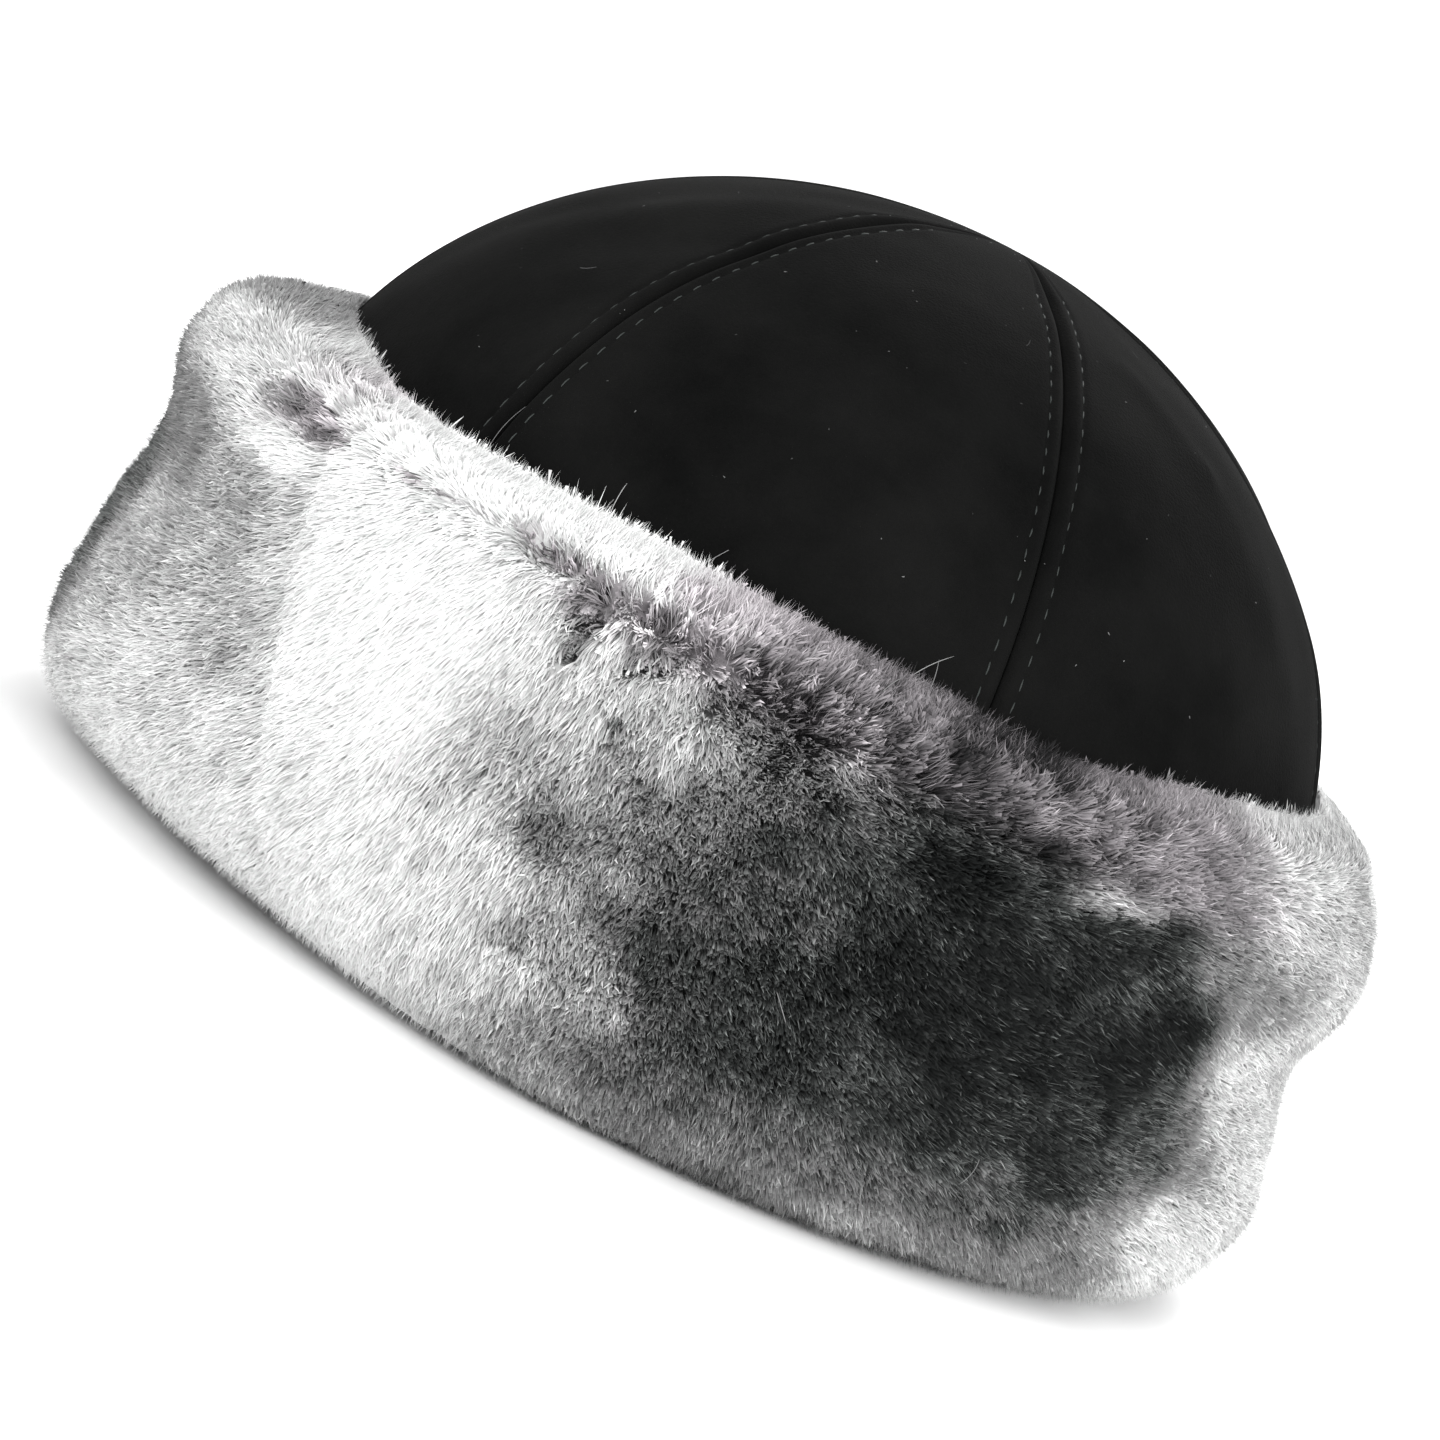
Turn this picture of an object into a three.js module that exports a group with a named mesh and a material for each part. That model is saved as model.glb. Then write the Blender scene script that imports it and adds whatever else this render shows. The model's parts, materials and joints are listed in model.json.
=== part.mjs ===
// A fur toque: a domed crown of six suede gores standing in a turned-up cuff of three fur pelts.
// Millimetres, +Z up. The origin is on the surface that the cuff stands on, below the crown's axis.
// Azimuths are degrees about that axis: 0 is the front (-Y), 90 is the wearer's side at +X.
import * as THREE from 'three';

// Crown: a dome on a nearly straight wall that runs down inside the cuff to the rim
const crownRadius = 100.6; // outside, where the wall turns into the dome
const crownRimRadius = 97; // outside, at the rim
const crownRimHeight = 6; // the rim hangs clear of the surface, inside the cuff
const domeStartHeight = 69.5;
const domeHeight = 84.5; // from the dome's start to the top
const domeExponent = 1.95; // 2 is an ellipse; less is a little more pointed
const domeLean = 2.5; // how far the soft top leans towards +X
const suedeThickness = 2;
const seamGap = 0.4; // between neighbouring gores
const goreTipRadius = 1.6; // where a gore's point ends, near the top
const gorePuff = 0.6; // how far a gore swells between its seams
const softFrom = 95; // below this height the cuff holds the suede smooth
const softTo = 114; // above this one it swells and folds freely
const goreColumns = 8; // steps across a gore
const wallRows = 6; // steps up the wall
const domeRows = 12; // steps up the dome

// Seams between the gores, by azimuth
const seamAzimuths = [-151.2, -87, -37.5, 19.5, 80.5, 144.6];

// Soft folds in the suede: a ridge where depth is positive, a dent where it is negative
const foldColumns = ['azimuth', 'height', 'azimuthSpread', 'heightSpread', 'depth'];
const folds = [
  [-49, 139, 16, 7, 1.1],
  [-30, 129, 14, 9, -0.9],
  [52, 126, 7, 18, 1.2],
  [66, 116, 7, 20, -0.9],
  [-72, 106, 8, 22, -0.7],
  [118, 124, 12, 14, 1.0],
  [176, 130, 18, 10, -1.0],
  [-120, 118, 10, 20, 0.9],
].map((row) => named(foldColumns, row));

// Cuff: the outer form of the fur, as sections by azimuth. Radii and heights are in millimetres.
// foot is the outer edge of the flat underside, which lifts off the surface at the front left; lobe
// is the fur's full lower bulge, waist the groove above it, lump the upper bulge, crest the shoulder
// where the fur turns in to the crown, and top its edge at the crown.
const sectionColumns = [
  'azimuth', 'foot', 'footHeight', 'lobe', 'waist', 'waistHeight', 'lump', 'crest', 'crestHeight',
  'topHeight',
];
const sections = [
  [-170, 104, 0, 120.5, 119.0, 55.5, 119.5, 112.0, 84.5, 91.5],
  [-145, 104, 0, 122.5, 120.0, 57.5, 121.0, 113.0, 85.5, 92.0],
  [-120, 104, 0, 123.5, 119.5, 58.5, 122.0, 114.5, 86.0, 90.5],
  [-97, 103.5, 0, 123.8, 120.0, 59.5, 123.5, 116.0, 87.5, 90.5],
  [-81, 102.5, 0.9, 124.0, 120.8, 59.5, 124.0, 117.0, 88.5, 91.0],
  [-64, 99.5, 3.4, 123.5, 119.0, 59.5, 121.5, 114.0, 86.0, 88.5],
  [-48, 98.8, 4.2, 122.0, 119.5, 57.5, 118.5, 111.5, 83.0, 85.5],
  [-32, 99.5, 3.4, 121.0, 119.8, 55.5, 117.5, 110.5, 82.0, 86.2],
  [-15, 101.5, 1.6, 120.3, 119.2, 54.5, 117.3, 110.3, 82.5, 87.8],
  [0, 103, 0, 120.0, 118.8, 53.5, 117.3, 110.5, 82.6, 88.0],
  [14, 104, 0, 120.2, 118.6, 52.5, 117.5, 110.3, 82.0, 88.2],
  [28, 104, 0, 120.8, 118.6, 51.5, 117.8, 109.5, 81.0, 87.0],
  [42, 104, 0, 121.6, 118.2, 49.5, 119.3, 111.5, 85.5, 89.8],
  [58, 104, 0, 122.4, 117.2, 48.5, 120.3, 112.5, 86.6, 90.6],
  [80, 104, 0, 123.0, 116.5, 47.5, 120.8, 112.5, 87.0, 91.0],
  [100, 104, 0, 122.6, 117.2, 49.5, 120.6, 113.0, 87.6, 93.0],
  [122, 104, 0, 122.0, 118.4, 51.5, 120.2, 113.0, 87.0, 93.5],
  [146, 104, 0, 121.2, 118.6, 54.5, 119.6, 112.4, 85.0, 92.0],
  [168, 104, 0, 120.4, 118.6, 55.5, 119.2, 112.0, 84.0, 91.0],
].map((row) => named(sectionColumns, row));
const lobeHeight = 23; // height of the lower bulge's widest part
const lumpShare = 0.48; // where the upper bulge is widest, from the waist to the crest
const crownClearance = 0.5; // between the cuff's inner face and the crown
const lipWidth = 1.2; // how far the top edge stands off that face
const footSteps = 5;
const flankSteps = 11;
const innerSteps = 8;
const innerCrowding = 1.5; // crowds the inner face's steps towards the curved top
const cuffStep = 6; // degrees between sections along a pelt
const peltGap = 0.4; // between neighbouring pelts

// Where the three pelts meet, by azimuth
const peltJoins = [-160, -41, 80];

const suede = new THREE.MeshStandardMaterial({ color: 0x141414, roughness: 0.95, metalness: 0 });
const furColors = [0x9a999b, 0x8d8c90, 0xb4b3b5];

function named(columns, row) {
  return Object.fromEntries(columns.map((column, i) => [column, row[i]]));
}

function radians(degrees) {
  return THREE.MathUtils.degToRad(degrees);
}

// Signed difference between two azimuths, from -180 to 180
function turnBetween(from, to) {
  return THREE.MathUtils.euclideanModulo(to - from + 180, 360) - 180;
}

// A point at a radius from the axis; the dome's lean shifts it towards +X
function pointAt(azimuth, radius, height) {
  const rise = Math.max(0, (height - domeStartHeight) / domeHeight);
  const angle = radians(azimuth);
  return new THREE.Vector3(
    radius * Math.sin(angle) + domeLean * rise * rise,
    -radius * Math.cos(angle),
    height,
  );
}

// The crown's outside radius at a height, before folds
function crownProfile(height) {
  if (height < domeStartHeight) {
    const drop = (domeStartHeight - height) / domeStartHeight;
    return crownRadius - (crownRadius - crownRimRadius) * drop * drop;
  }
  const rise = Math.min(1, (height - domeStartHeight) / domeHeight);
  return crownRadius * Math.pow(1 - Math.pow(rise, domeExponent), 1 / domeExponent);
}

function foldDepth(azimuth, height) {
  return folds.reduce((sum, fold) => {
    const across = turnBetween(fold.azimuth, azimuth) / fold.azimuthSpread;
    const along = (height - fold.height) / fold.heightSpread;
    return sum + fold.depth * Math.exp(-across * across - along * along);
  }, 0);
}

// Rows of the crown's outer profile from rim to tip, each with the direction that points outwards
function crownRows() {
  const rows = [];
  for (let i = 0; i < wallRows; i += 1) {
    const height = THREE.MathUtils.lerp(crownRimHeight, domeStartHeight, i / wallRows);
    rows.push({ radius: crownProfile(height), height });
  }
  const power = 2 / domeExponent;
  const tipTurn = Math.acos(Math.pow(goreTipRadius / crownRadius, 1 / power));
  for (let i = 0; i <= domeRows; i += 1) {
    const turn = (tipTurn * i) / domeRows;
    const radius = crownRadius * Math.pow(Math.cos(turn), power);
    rows.push({ radius, height: domeStartHeight + domeHeight * Math.pow(Math.sin(turn), power) });
  }
  return rows.map((row, i) => {
    const before = rows[Math.max(0, i - 1)];
    const after = rows[Math.min(rows.length - 1, i + 1)];
    const out = new THREE.Vector2(after.height - before.height, before.radius - after.radius);
    return { ...row, out: out.normalize() };
  });
}

// A closed solid between two grids of points, front and back, row by row
function solidBetween(front, back) {
  const rowCount = front.length;
  const columnCount = front[0].length;
  const points = [...front.flat(), ...back.flat()];
  const at = (side, row, column) => side * rowCount * columnCount + row * columnCount + column;
  const index = [];
  const quad = (a, b, c, d) => index.push(a, b, c, a, c, d);
  for (let row = 0; row < rowCount - 1; row += 1) {
    for (let column = 0; column < columnCount - 1; column += 1) {
      quad(at(0, row, column), at(0, row, column + 1), at(0, row + 1, column + 1), at(0, row + 1, column));
      quad(at(1, row, column), at(1, row + 1, column), at(1, row + 1, column + 1), at(1, row, column + 1));
    }
    const last = columnCount - 1;
    quad(at(1, row, 0), at(0, row, 0), at(0, row + 1, 0), at(1, row + 1, 0));
    quad(at(0, row, last), at(1, row, last), at(1, row + 1, last), at(0, row + 1, last));
  }
  for (let column = 0; column < columnCount - 1; column += 1) {
    const top = rowCount - 1;
    quad(at(1, 0, column), at(1, 0, column + 1), at(0, 0, column + 1), at(0, 0, column));
    quad(at(0, top, column), at(0, top, column + 1), at(1, top, column + 1), at(1, top, column));
  }
  return geometryFrom(points, index);
}

function geometryFrom(points, index) {
  const geometry = new THREE.BufferGeometry().setFromPoints(points);
  geometry.setIndex(index);
  geometry.computeVertexNormals();
  return geometry;
}

// One gore: a suede wedge from the seam at one azimuth to the seam at the next
function crownGore(from, to) {
  const width = THREE.MathUtils.euclideanModulo(to - from, 360);
  const sides = [0, suedeThickness].map((depth) => crownRows().map((row) => {
    const rowRadius = row.radius - row.out.x * depth;
    const margin = THREE.MathUtils.radToDeg(Math.asin(seamGap / 2 / rowRadius));
    return Array.from({ length: goreColumns + 1 }, (_, column) => {
      const share = column / goreColumns;
      const azimuth = from + margin + (width - 2 * margin) * share;
      const puff = gorePuff * 4 * share * (1 - share);
      const freedom = THREE.MathUtils.smoothstep(row.height, softFrom, softTo);
      const swell = (puff + foldDepth(azimuth, row.height)) * freedom * (row.radius / crownRadius);
      return pointAt(azimuth, rowRadius + row.out.x * swell, row.height + row.out.y * (swell - depth));
    });
  }));
  return solidBetween(sides[0], sides[1]);
}

// The section of the cuff at an azimuth, from the table by a smooth closed curve
function sectionAt(azimuth) {
  const count = sections.length;
  const start = sections.findIndex((row, i) => {
    const next = sections[(i + 1) % count];
    const span = THREE.MathUtils.euclideanModulo(next.azimuth - row.azimuth, 360);
    return THREE.MathUtils.euclideanModulo(azimuth - row.azimuth, 360) < span;
  });
  const around = [-1, 0, 1, 2].map((step) => sections[(start + step + count) % count]);
  const span = THREE.MathUtils.euclideanModulo(around[2].azimuth - around[1].azimuth, 360);
  const share = THREE.MathUtils.euclideanModulo(azimuth - around[1].azimuth, 360) / span;
  const blended = (column) => Math.max(0, catmullRom(share, ...around.map((row) => row[column])));
  return Object.fromEntries(sectionColumns.slice(1).map((column) => [column, blended(column)]));
}

function catmullRom(share, before, from, to, after) {
  const slopeFrom = (to - before) / 2;
  const slopeTo = (after - from) / 2;
  const square = share * share;
  const cube = square * share;
  return (2 * cube - 3 * square + 1) * from + (cube - 2 * square + share) * slopeFrom
    + (3 * square - 2 * cube) * to + (cube - square) * slopeTo;
}

// The cuff's outline in one vertical plane: along the foot, up the flank, over the crest and
// down the inner face. Each point is radius, height.
function cuffOutline(azimuth) {
  const row = sectionAt(azimuth);
  const outline = [];
  for (let i = 0; i < footSteps; i += 1) {
    const turn = (Math.PI / 2) * (i / footSteps);
    const radius = row.foot + (row.lobe - row.foot) * Math.sin(turn);
    const height = lobeHeight - (lobeHeight - row.footHeight) * Math.cos(turn);
    outline.push(new THREE.Vector2(radius, height));
  }
  const lumpHeight = THREE.MathUtils.lerp(row.waistHeight, row.crestHeight, lumpShare);
  const innerTop = crownProfile(row.topHeight) + crownClearance;
  const flank = new THREE.SplineCurve([
    new THREE.Vector2(row.lobe, lobeHeight),
    new THREE.Vector2((row.lobe + row.waist) / 2, (lobeHeight + row.waistHeight) / 2),
    new THREE.Vector2(row.waist, row.waistHeight),
    new THREE.Vector2(row.lump, lumpHeight),
    new THREE.Vector2(row.crest, row.crestHeight),
    new THREE.Vector2(innerTop + lipWidth, row.topHeight),
  ]);
  outline.push(...flank.getSpacedPoints(flankSteps));
  for (let i = 0; i <= innerSteps; i += 1) {
    const share = Math.pow(i / innerSteps, innerCrowding);
    const height = THREE.MathUtils.lerp(row.topHeight - lipWidth, row.footHeight, share);
    outline.push(new THREE.Vector2(crownProfile(height) + crownClearance, height));
  }
  return outline;
}

// One pelt: cuff sections from one join to the next, skinned and closed at both ends
function cuffPelt(from, to) {
  const width = THREE.MathUtils.euclideanModulo(to - from, 360);
  const steps = Math.round(width / cuffStep);
  const margin = THREE.MathUtils.radToDeg(peltGap / 2 / crownRimRadius);
  const rings = Array.from({ length: steps + 1 }, (_, i) => {
    const azimuth = from + margin + ((width - 2 * margin) * i) / steps;
    return cuffOutline(azimuth).map((point) => pointAt(azimuth, point.x, point.y));
  });
  const count = rings[0].length;
  const index = [];
  for (let ring = 0; ring < steps; ring += 1) {
    for (let i = 0; i < count; i += 1) {
      const a = ring * count + i;
      const b = ring * count + ((i + 1) % count);
      index.push(a, a + count, b + count, a, b + count, b);
    }
  }
  const caps = [[0, from + margin], [steps, to - margin]];
  caps.forEach(([ring, azimuth], end) => {
    const faces = THREE.ShapeUtils.triangulateShape(cuffOutline(azimuth), []);
    faces.forEach((face) => {
      const corners = end === 0 ? face : [...face].reverse();
      index.push(...corners.map((corner) => ring * count + corner));
    });
  });
  return geometryFrom(rings.flat(), index);
}

function meshNamed(name, geometry, material) {
  const mesh = new THREE.Mesh(geometry, material);
  mesh.name = name;
  return mesh;
}

const crown = new THREE.Group();
seamAzimuths.forEach((azimuth, i) => {
  const next = seamAzimuths[(i + 1) % seamAzimuths.length];
  crown.add(meshNamed(`crown_gore_${i + 1}`, crownGore(azimuth, next), suede.clone()));
});

const cuff = new THREE.Group();
peltJoins.forEach((azimuth, i) => {
  const next = peltJoins[(i + 1) % peltJoins.length];
  const fur = new THREE.MeshStandardMaterial({ color: furColors[i], roughness: 1, metalness: 0 });
  cuff.add(meshNamed(`cuff_pelt_${i + 1}`, cuffPelt(azimuth, next), fur));
});

const toque = new THREE.Group();
toque.add(crown, cuff);

export default toque;
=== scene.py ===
import json
import math
import bpy
import numpy as np
from mathutils import Matrix

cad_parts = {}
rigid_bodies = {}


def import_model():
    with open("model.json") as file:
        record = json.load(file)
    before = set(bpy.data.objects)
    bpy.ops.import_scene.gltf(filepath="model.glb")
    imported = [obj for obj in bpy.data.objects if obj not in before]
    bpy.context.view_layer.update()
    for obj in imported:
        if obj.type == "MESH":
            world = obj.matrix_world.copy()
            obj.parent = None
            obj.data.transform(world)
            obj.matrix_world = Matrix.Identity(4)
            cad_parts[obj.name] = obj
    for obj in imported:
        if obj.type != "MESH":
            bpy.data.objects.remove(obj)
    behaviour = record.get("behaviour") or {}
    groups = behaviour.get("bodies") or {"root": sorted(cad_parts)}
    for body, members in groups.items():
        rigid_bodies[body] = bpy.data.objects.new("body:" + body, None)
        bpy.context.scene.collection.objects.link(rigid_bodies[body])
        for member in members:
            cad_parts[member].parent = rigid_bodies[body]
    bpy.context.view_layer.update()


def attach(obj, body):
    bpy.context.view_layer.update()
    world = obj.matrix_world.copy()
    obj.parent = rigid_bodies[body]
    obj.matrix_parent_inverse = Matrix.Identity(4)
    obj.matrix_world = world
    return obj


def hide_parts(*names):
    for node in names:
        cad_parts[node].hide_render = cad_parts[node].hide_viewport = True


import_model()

mm = 0.001


def smoothStep(low, high, value):
    share = np.clip((value - low) / (high - low), 0, 1)
    return share * share * (3 - 2 * share)


def turnBetween(start, end):
    return (end - start + 180) % 360 - 180


def unit(vectors):
    return vectors / np.maximum(np.linalg.norm(vectors, axis=-1, keepdims=True), 1e-9)


noiseField = {
    "lowest": -60.0,          # the heights that the noise covers
    "tall": 320.0,
}


# Smooth noise from -1 to 1 over azimuth and height, without a break behind the hat
def valueNoise(azimuth, height, cellDegrees, cellHeight, seed):
    columns = max(3, int(round(360 / cellDegrees)))
    rows = int(noiseField["tall"] / cellHeight) + 4
    lattice = np.random.default_rng(seed).uniform(-1, 1, (rows, columns))
    x = (azimuth % 360) / 360 * columns
    y = np.clip((height - noiseField["lowest"]) / cellHeight, 0, rows - 1.001)
    column = np.floor(x).astype(int)
    row = np.floor(y).astype(int)
    fx, fy = x - column, y - row
    fx = fx * fx * (3 - 2 * fx)
    fy = fy * fy * (3 - 2 * fy)
    left, right = column % columns, (column + 1) % columns
    low = lattice[row, left] * (1 - fx) + lattice[row, right] * fx
    high = lattice[row + 1, left] * (1 - fx) + lattice[row + 1, right] * fx
    return low * (1 - fy) + high * fy


# Layers of noise added up, each given by its strength and its cell in degrees and millimetres
def layeredNoise(azimuth, height, layers, seed):
    total = 0.0
    for i, (strength, cellDegrees, cellHeight) in enumerate(layers):
        total = total + strength * valueNoise(azimuth, height, cellDegrees, cellHeight, seed + i)
    return total


# A mesh piece from points in millimetres and faces that all have as many corners
def newPiece(name, points, faces, material, attributes=None, normals=None, uv=None):
    mesh = bpy.data.meshes.new(name)
    mesh.vertices.add(len(points))
    mesh.vertices.foreach_set("co", (points * mm).astype(np.float32).ravel())
    corners = faces.shape[1]
    mesh.loops.add(faces.size)
    mesh.loops.foreach_set("vertex_index", faces.astype(np.int32).ravel())
    mesh.polygons.add(len(faces))
    mesh.polygons.foreach_set("loop_start", np.arange(0, faces.size, corners, dtype=np.int32))
    mesh.polygons.foreach_set("use_smooth", np.ones(len(faces), dtype=bool))
    mesh.update(calc_edges=True)
    for attributeName, values in (attributes or {}).items():
        attribute = mesh.attributes.new(attributeName, "FLOAT", "POINT")
        attribute.data.foreach_set("value", values.astype(np.float32))
    if normals is not None:
        attribute = mesh.attributes.new("custom_normal", "FLOAT_VECTOR", "POINT")
        attribute.data.foreach_set("vector", normals.astype(np.float32).ravel())
    if uv is not None:
        layer = mesh.uv_layers.new(name="OFBake")
        layer.uv.foreach_set("vector", uv[faces.ravel()].astype(np.float32).ravel())
    mesh.materials.append(material)
    piece = bpy.data.objects.new(name, mesh)
    bpy.context.scene.collection.objects.link(piece)
    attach(piece, "root")
    return piece


# Camera: the photograph's angle, with the hat's top leaning to the right in the frame

cameraView = {
    "place": (-5.0, -743.0, 160.5),
    "pitch": 8.2,             # degrees down
    "roll": 27.8,             # degrees
    "lens": 102.25,
    "frame": 36.0,            # the square frame's side
    "clip": (0.02, 60.0),     # metres
}


def addCamera():
    pitch, roll = math.radians(cameraView["pitch"]), math.radians(cameraView["roll"])
    right = np.array([1.0, 0.0, 0.0])
    forward = np.array([0.0, math.cos(pitch), -math.sin(pitch)])
    up = np.cross(right, forward)
    frameRight = math.cos(roll) * right + math.sin(roll) * up
    frameUp = math.cos(roll) * up - math.sin(roll) * right
    data = bpy.data.cameras.new("photoView")
    data.sensor_width = cameraView["frame"]
    data.lens = cameraView["lens"]
    data.clip_start, data.clip_end = cameraView["clip"]
    camera = bpy.data.objects.new("photoView", data)
    bpy.context.scene.collection.objects.link(camera)
    turned = Matrix([frameRight, frameUp, -forward]).transposed().to_4x4()
    turned.translation = np.array(cameraView["place"]) * mm
    camera.matrix_world = turned
    bpy.context.scene.camera = camera


# Floor and light: a white round floor under soft daylight from the front left

studio = {
    "floorRadius": 5.0,               # metres
    "floorSides": 96,
    "floorColor": (0.96, 0.96, 0.96),
    "floorRoughness": 0.9,
    "floorSpecular": 0.1,
    "worldStrength": 1.26,
    "key": {"place": (-0.9, -1.8, 1.15), "size": 1.4, "power": 31.0},
    "fill": {"place": (1.4, -1.1, 0.8), "size": 1.2, "power": 17.0},
    "back": {"place": (0.4, 1.4, 1.3), "size": 1.0, "power": 18.0},
    "aim": (0.0, 0.0, 0.07),          # where the lamps point
}


def addStudio():
    world = bpy.data.worlds.new("daylight")
    world.use_nodes = True
    background = world.node_tree.nodes["Background"]
    background.inputs["Color"].default_value = (1, 1, 1, 1)
    background.inputs["Strength"].default_value = studio["worldStrength"]
    bpy.context.scene.world = world
    bpy.context.scene.view_settings.view_transform = "Standard"

    sides = studio["floorSides"]
    turns = np.arange(sides) / sides * 2 * math.pi
    reach = studio["floorRadius"] / mm
    points = np.stack([reach * np.cos(turns), reach * np.sin(turns), 0 * turns], axis=-1)
    mesh = bpy.data.meshes.new("floor")
    mesh.from_pydata((points * mm).tolist(), [], [list(range(sides))])
    material = bpy.data.materials.new("floorPaper")
    material.use_nodes = True
    shader = material.node_tree.nodes["Principled BSDF"]
    shader.inputs["Base Color"].default_value = (*studio["floorColor"], 1)
    shader.inputs["Roughness"].default_value = studio["floorRoughness"]
    shader.inputs["Specular IOR Level"].default_value = studio["floorSpecular"]
    mesh.materials.append(material)
    floor = bpy.data.objects.new("floor", mesh)
    bpy.context.scene.collection.objects.link(floor)

    for name in ("key", "fill", "back"):
        lamp = studio[name]
        data = bpy.data.lights.new(name + "Light", "AREA")
        data.shape = "DISK"
        data.size = lamp["size"]
        data.energy = lamp["power"]
        light = bpy.data.objects.new(name + "Light", data)
        bpy.context.scene.collection.objects.link(light)
        away = unit(np.array(lamp["place"]) - np.array(studio["aim"]))
        side = unit(np.cross([0, 0, 1.0], away))
        aimed = Matrix([side, np.cross(away, side), away]).transposed().to_4x4()
        aimed.translation = lamp["place"]
        light.matrix_world = aimed


addCamera()
addStudio()
print("camera, floor and lights stand")


# Node helpers

def addNode(tree, kind, values=None, **settings):
    node = tree.nodes.new(kind)
    for setting, value in settings.items():
        setattr(node, setting, value)
    for socket, value in (values or {}).items():
        node.inputs[socket].default_value = value
    return node


# A mix node's sockets share their names between kinds, so they are found by identifier
def addMix(tree, kind="RGBA", blend="MIX", first=None, second=None):
    node = addNode(tree, "ShaderNodeMix", data_type=kind, blend_type=blend)
    suffix = "Color" if kind == "RGBA" else "Float"
    sockets = {socket.identifier: socket for socket in list(node.inputs) + list(node.outputs)}
    named = {
        "factor": sockets["Factor_Float"],
        "first": sockets["A_" + suffix],
        "second": sockets["B_" + suffix],
        "result": sockets["Result_" + suffix],
    }
    for key, value in (("first", first), ("second", second)):
        if value is not None:
            named[key].default_value = value
    return named


def newGroup(name, inputs, outputs):
    group = bpy.data.node_groups.new(name, "ShaderNodeTree")
    for socketName, kind, value in inputs:
        socket = group.interface.new_socket(name=socketName, in_out="INPUT", socket_type=kind)
        socket.default_value = value
    for socketName, kind in outputs:
        group.interface.new_socket(name=socketName, in_out="OUTPUT", socket_type=kind)
    return group, group.nodes.new("NodeGroupInput"), group.nodes.new("NodeGroupOutput")


grainNoise = {
    "blotch": {"Detail": 5.0, "Roughness": 0.6},
    "spread": {"From Min": 0.3, "From Max": 0.7},   # stretches the blotches' contrast
    "grain": {"Detail": 3.0, "Roughness": 0.7},
}


# Soft blotches and fine grain, as a mask about 0.5; scales are features to the metre
def makeGrainGroup():
    group, given, out = newGroup(
        "nap grain",
        [("Blotch Scale", "NodeSocketFloat", 40.0), ("Grain Scale", "NodeSocketFloat", 1500.0),
         ("Grain Share", "NodeSocketFloat", 0.5)],
        [("Mask", "NodeSocketFloat"), ("Height", "NodeSocketFloat")])
    place = addNode(group, "ShaderNodeTexCoord")
    blotch = addNode(group, "ShaderNodeTexNoise", grainNoise["blotch"])
    spread = addNode(group, "ShaderNodeMapRange", grainNoise["spread"])
    grain = addNode(group, "ShaderNodeTexNoise", grainNoise["grain"])
    mix = addMix(group, kind="FLOAT")
    links = group.links
    for noise, scale in ((blotch, "Blotch Scale"), (grain, "Grain Scale")):
        links.new(place.outputs["Object"], noise.inputs["Vector"])
        links.new(given.outputs[scale], noise.inputs["Scale"])
    links.new(given.outputs["Grain Share"], mix["factor"])
    links.new(blotch.outputs["Fac"], spread.inputs["Value"])
    links.new(spread.outputs["Result"], mix["first"])
    links.new(grain.outputs["Fac"], mix["second"])
    links.new(mix["result"], out.inputs["Mask"])
    links.new(grain.outputs["Fac"], out.inputs["Height"])
    return group


hairCurve = {
    "toMiddle": 2.2,          # how slowly a shade leaves black,
    "toLight": 1.9,           # and how slowly it leaves the middle grey
}


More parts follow.
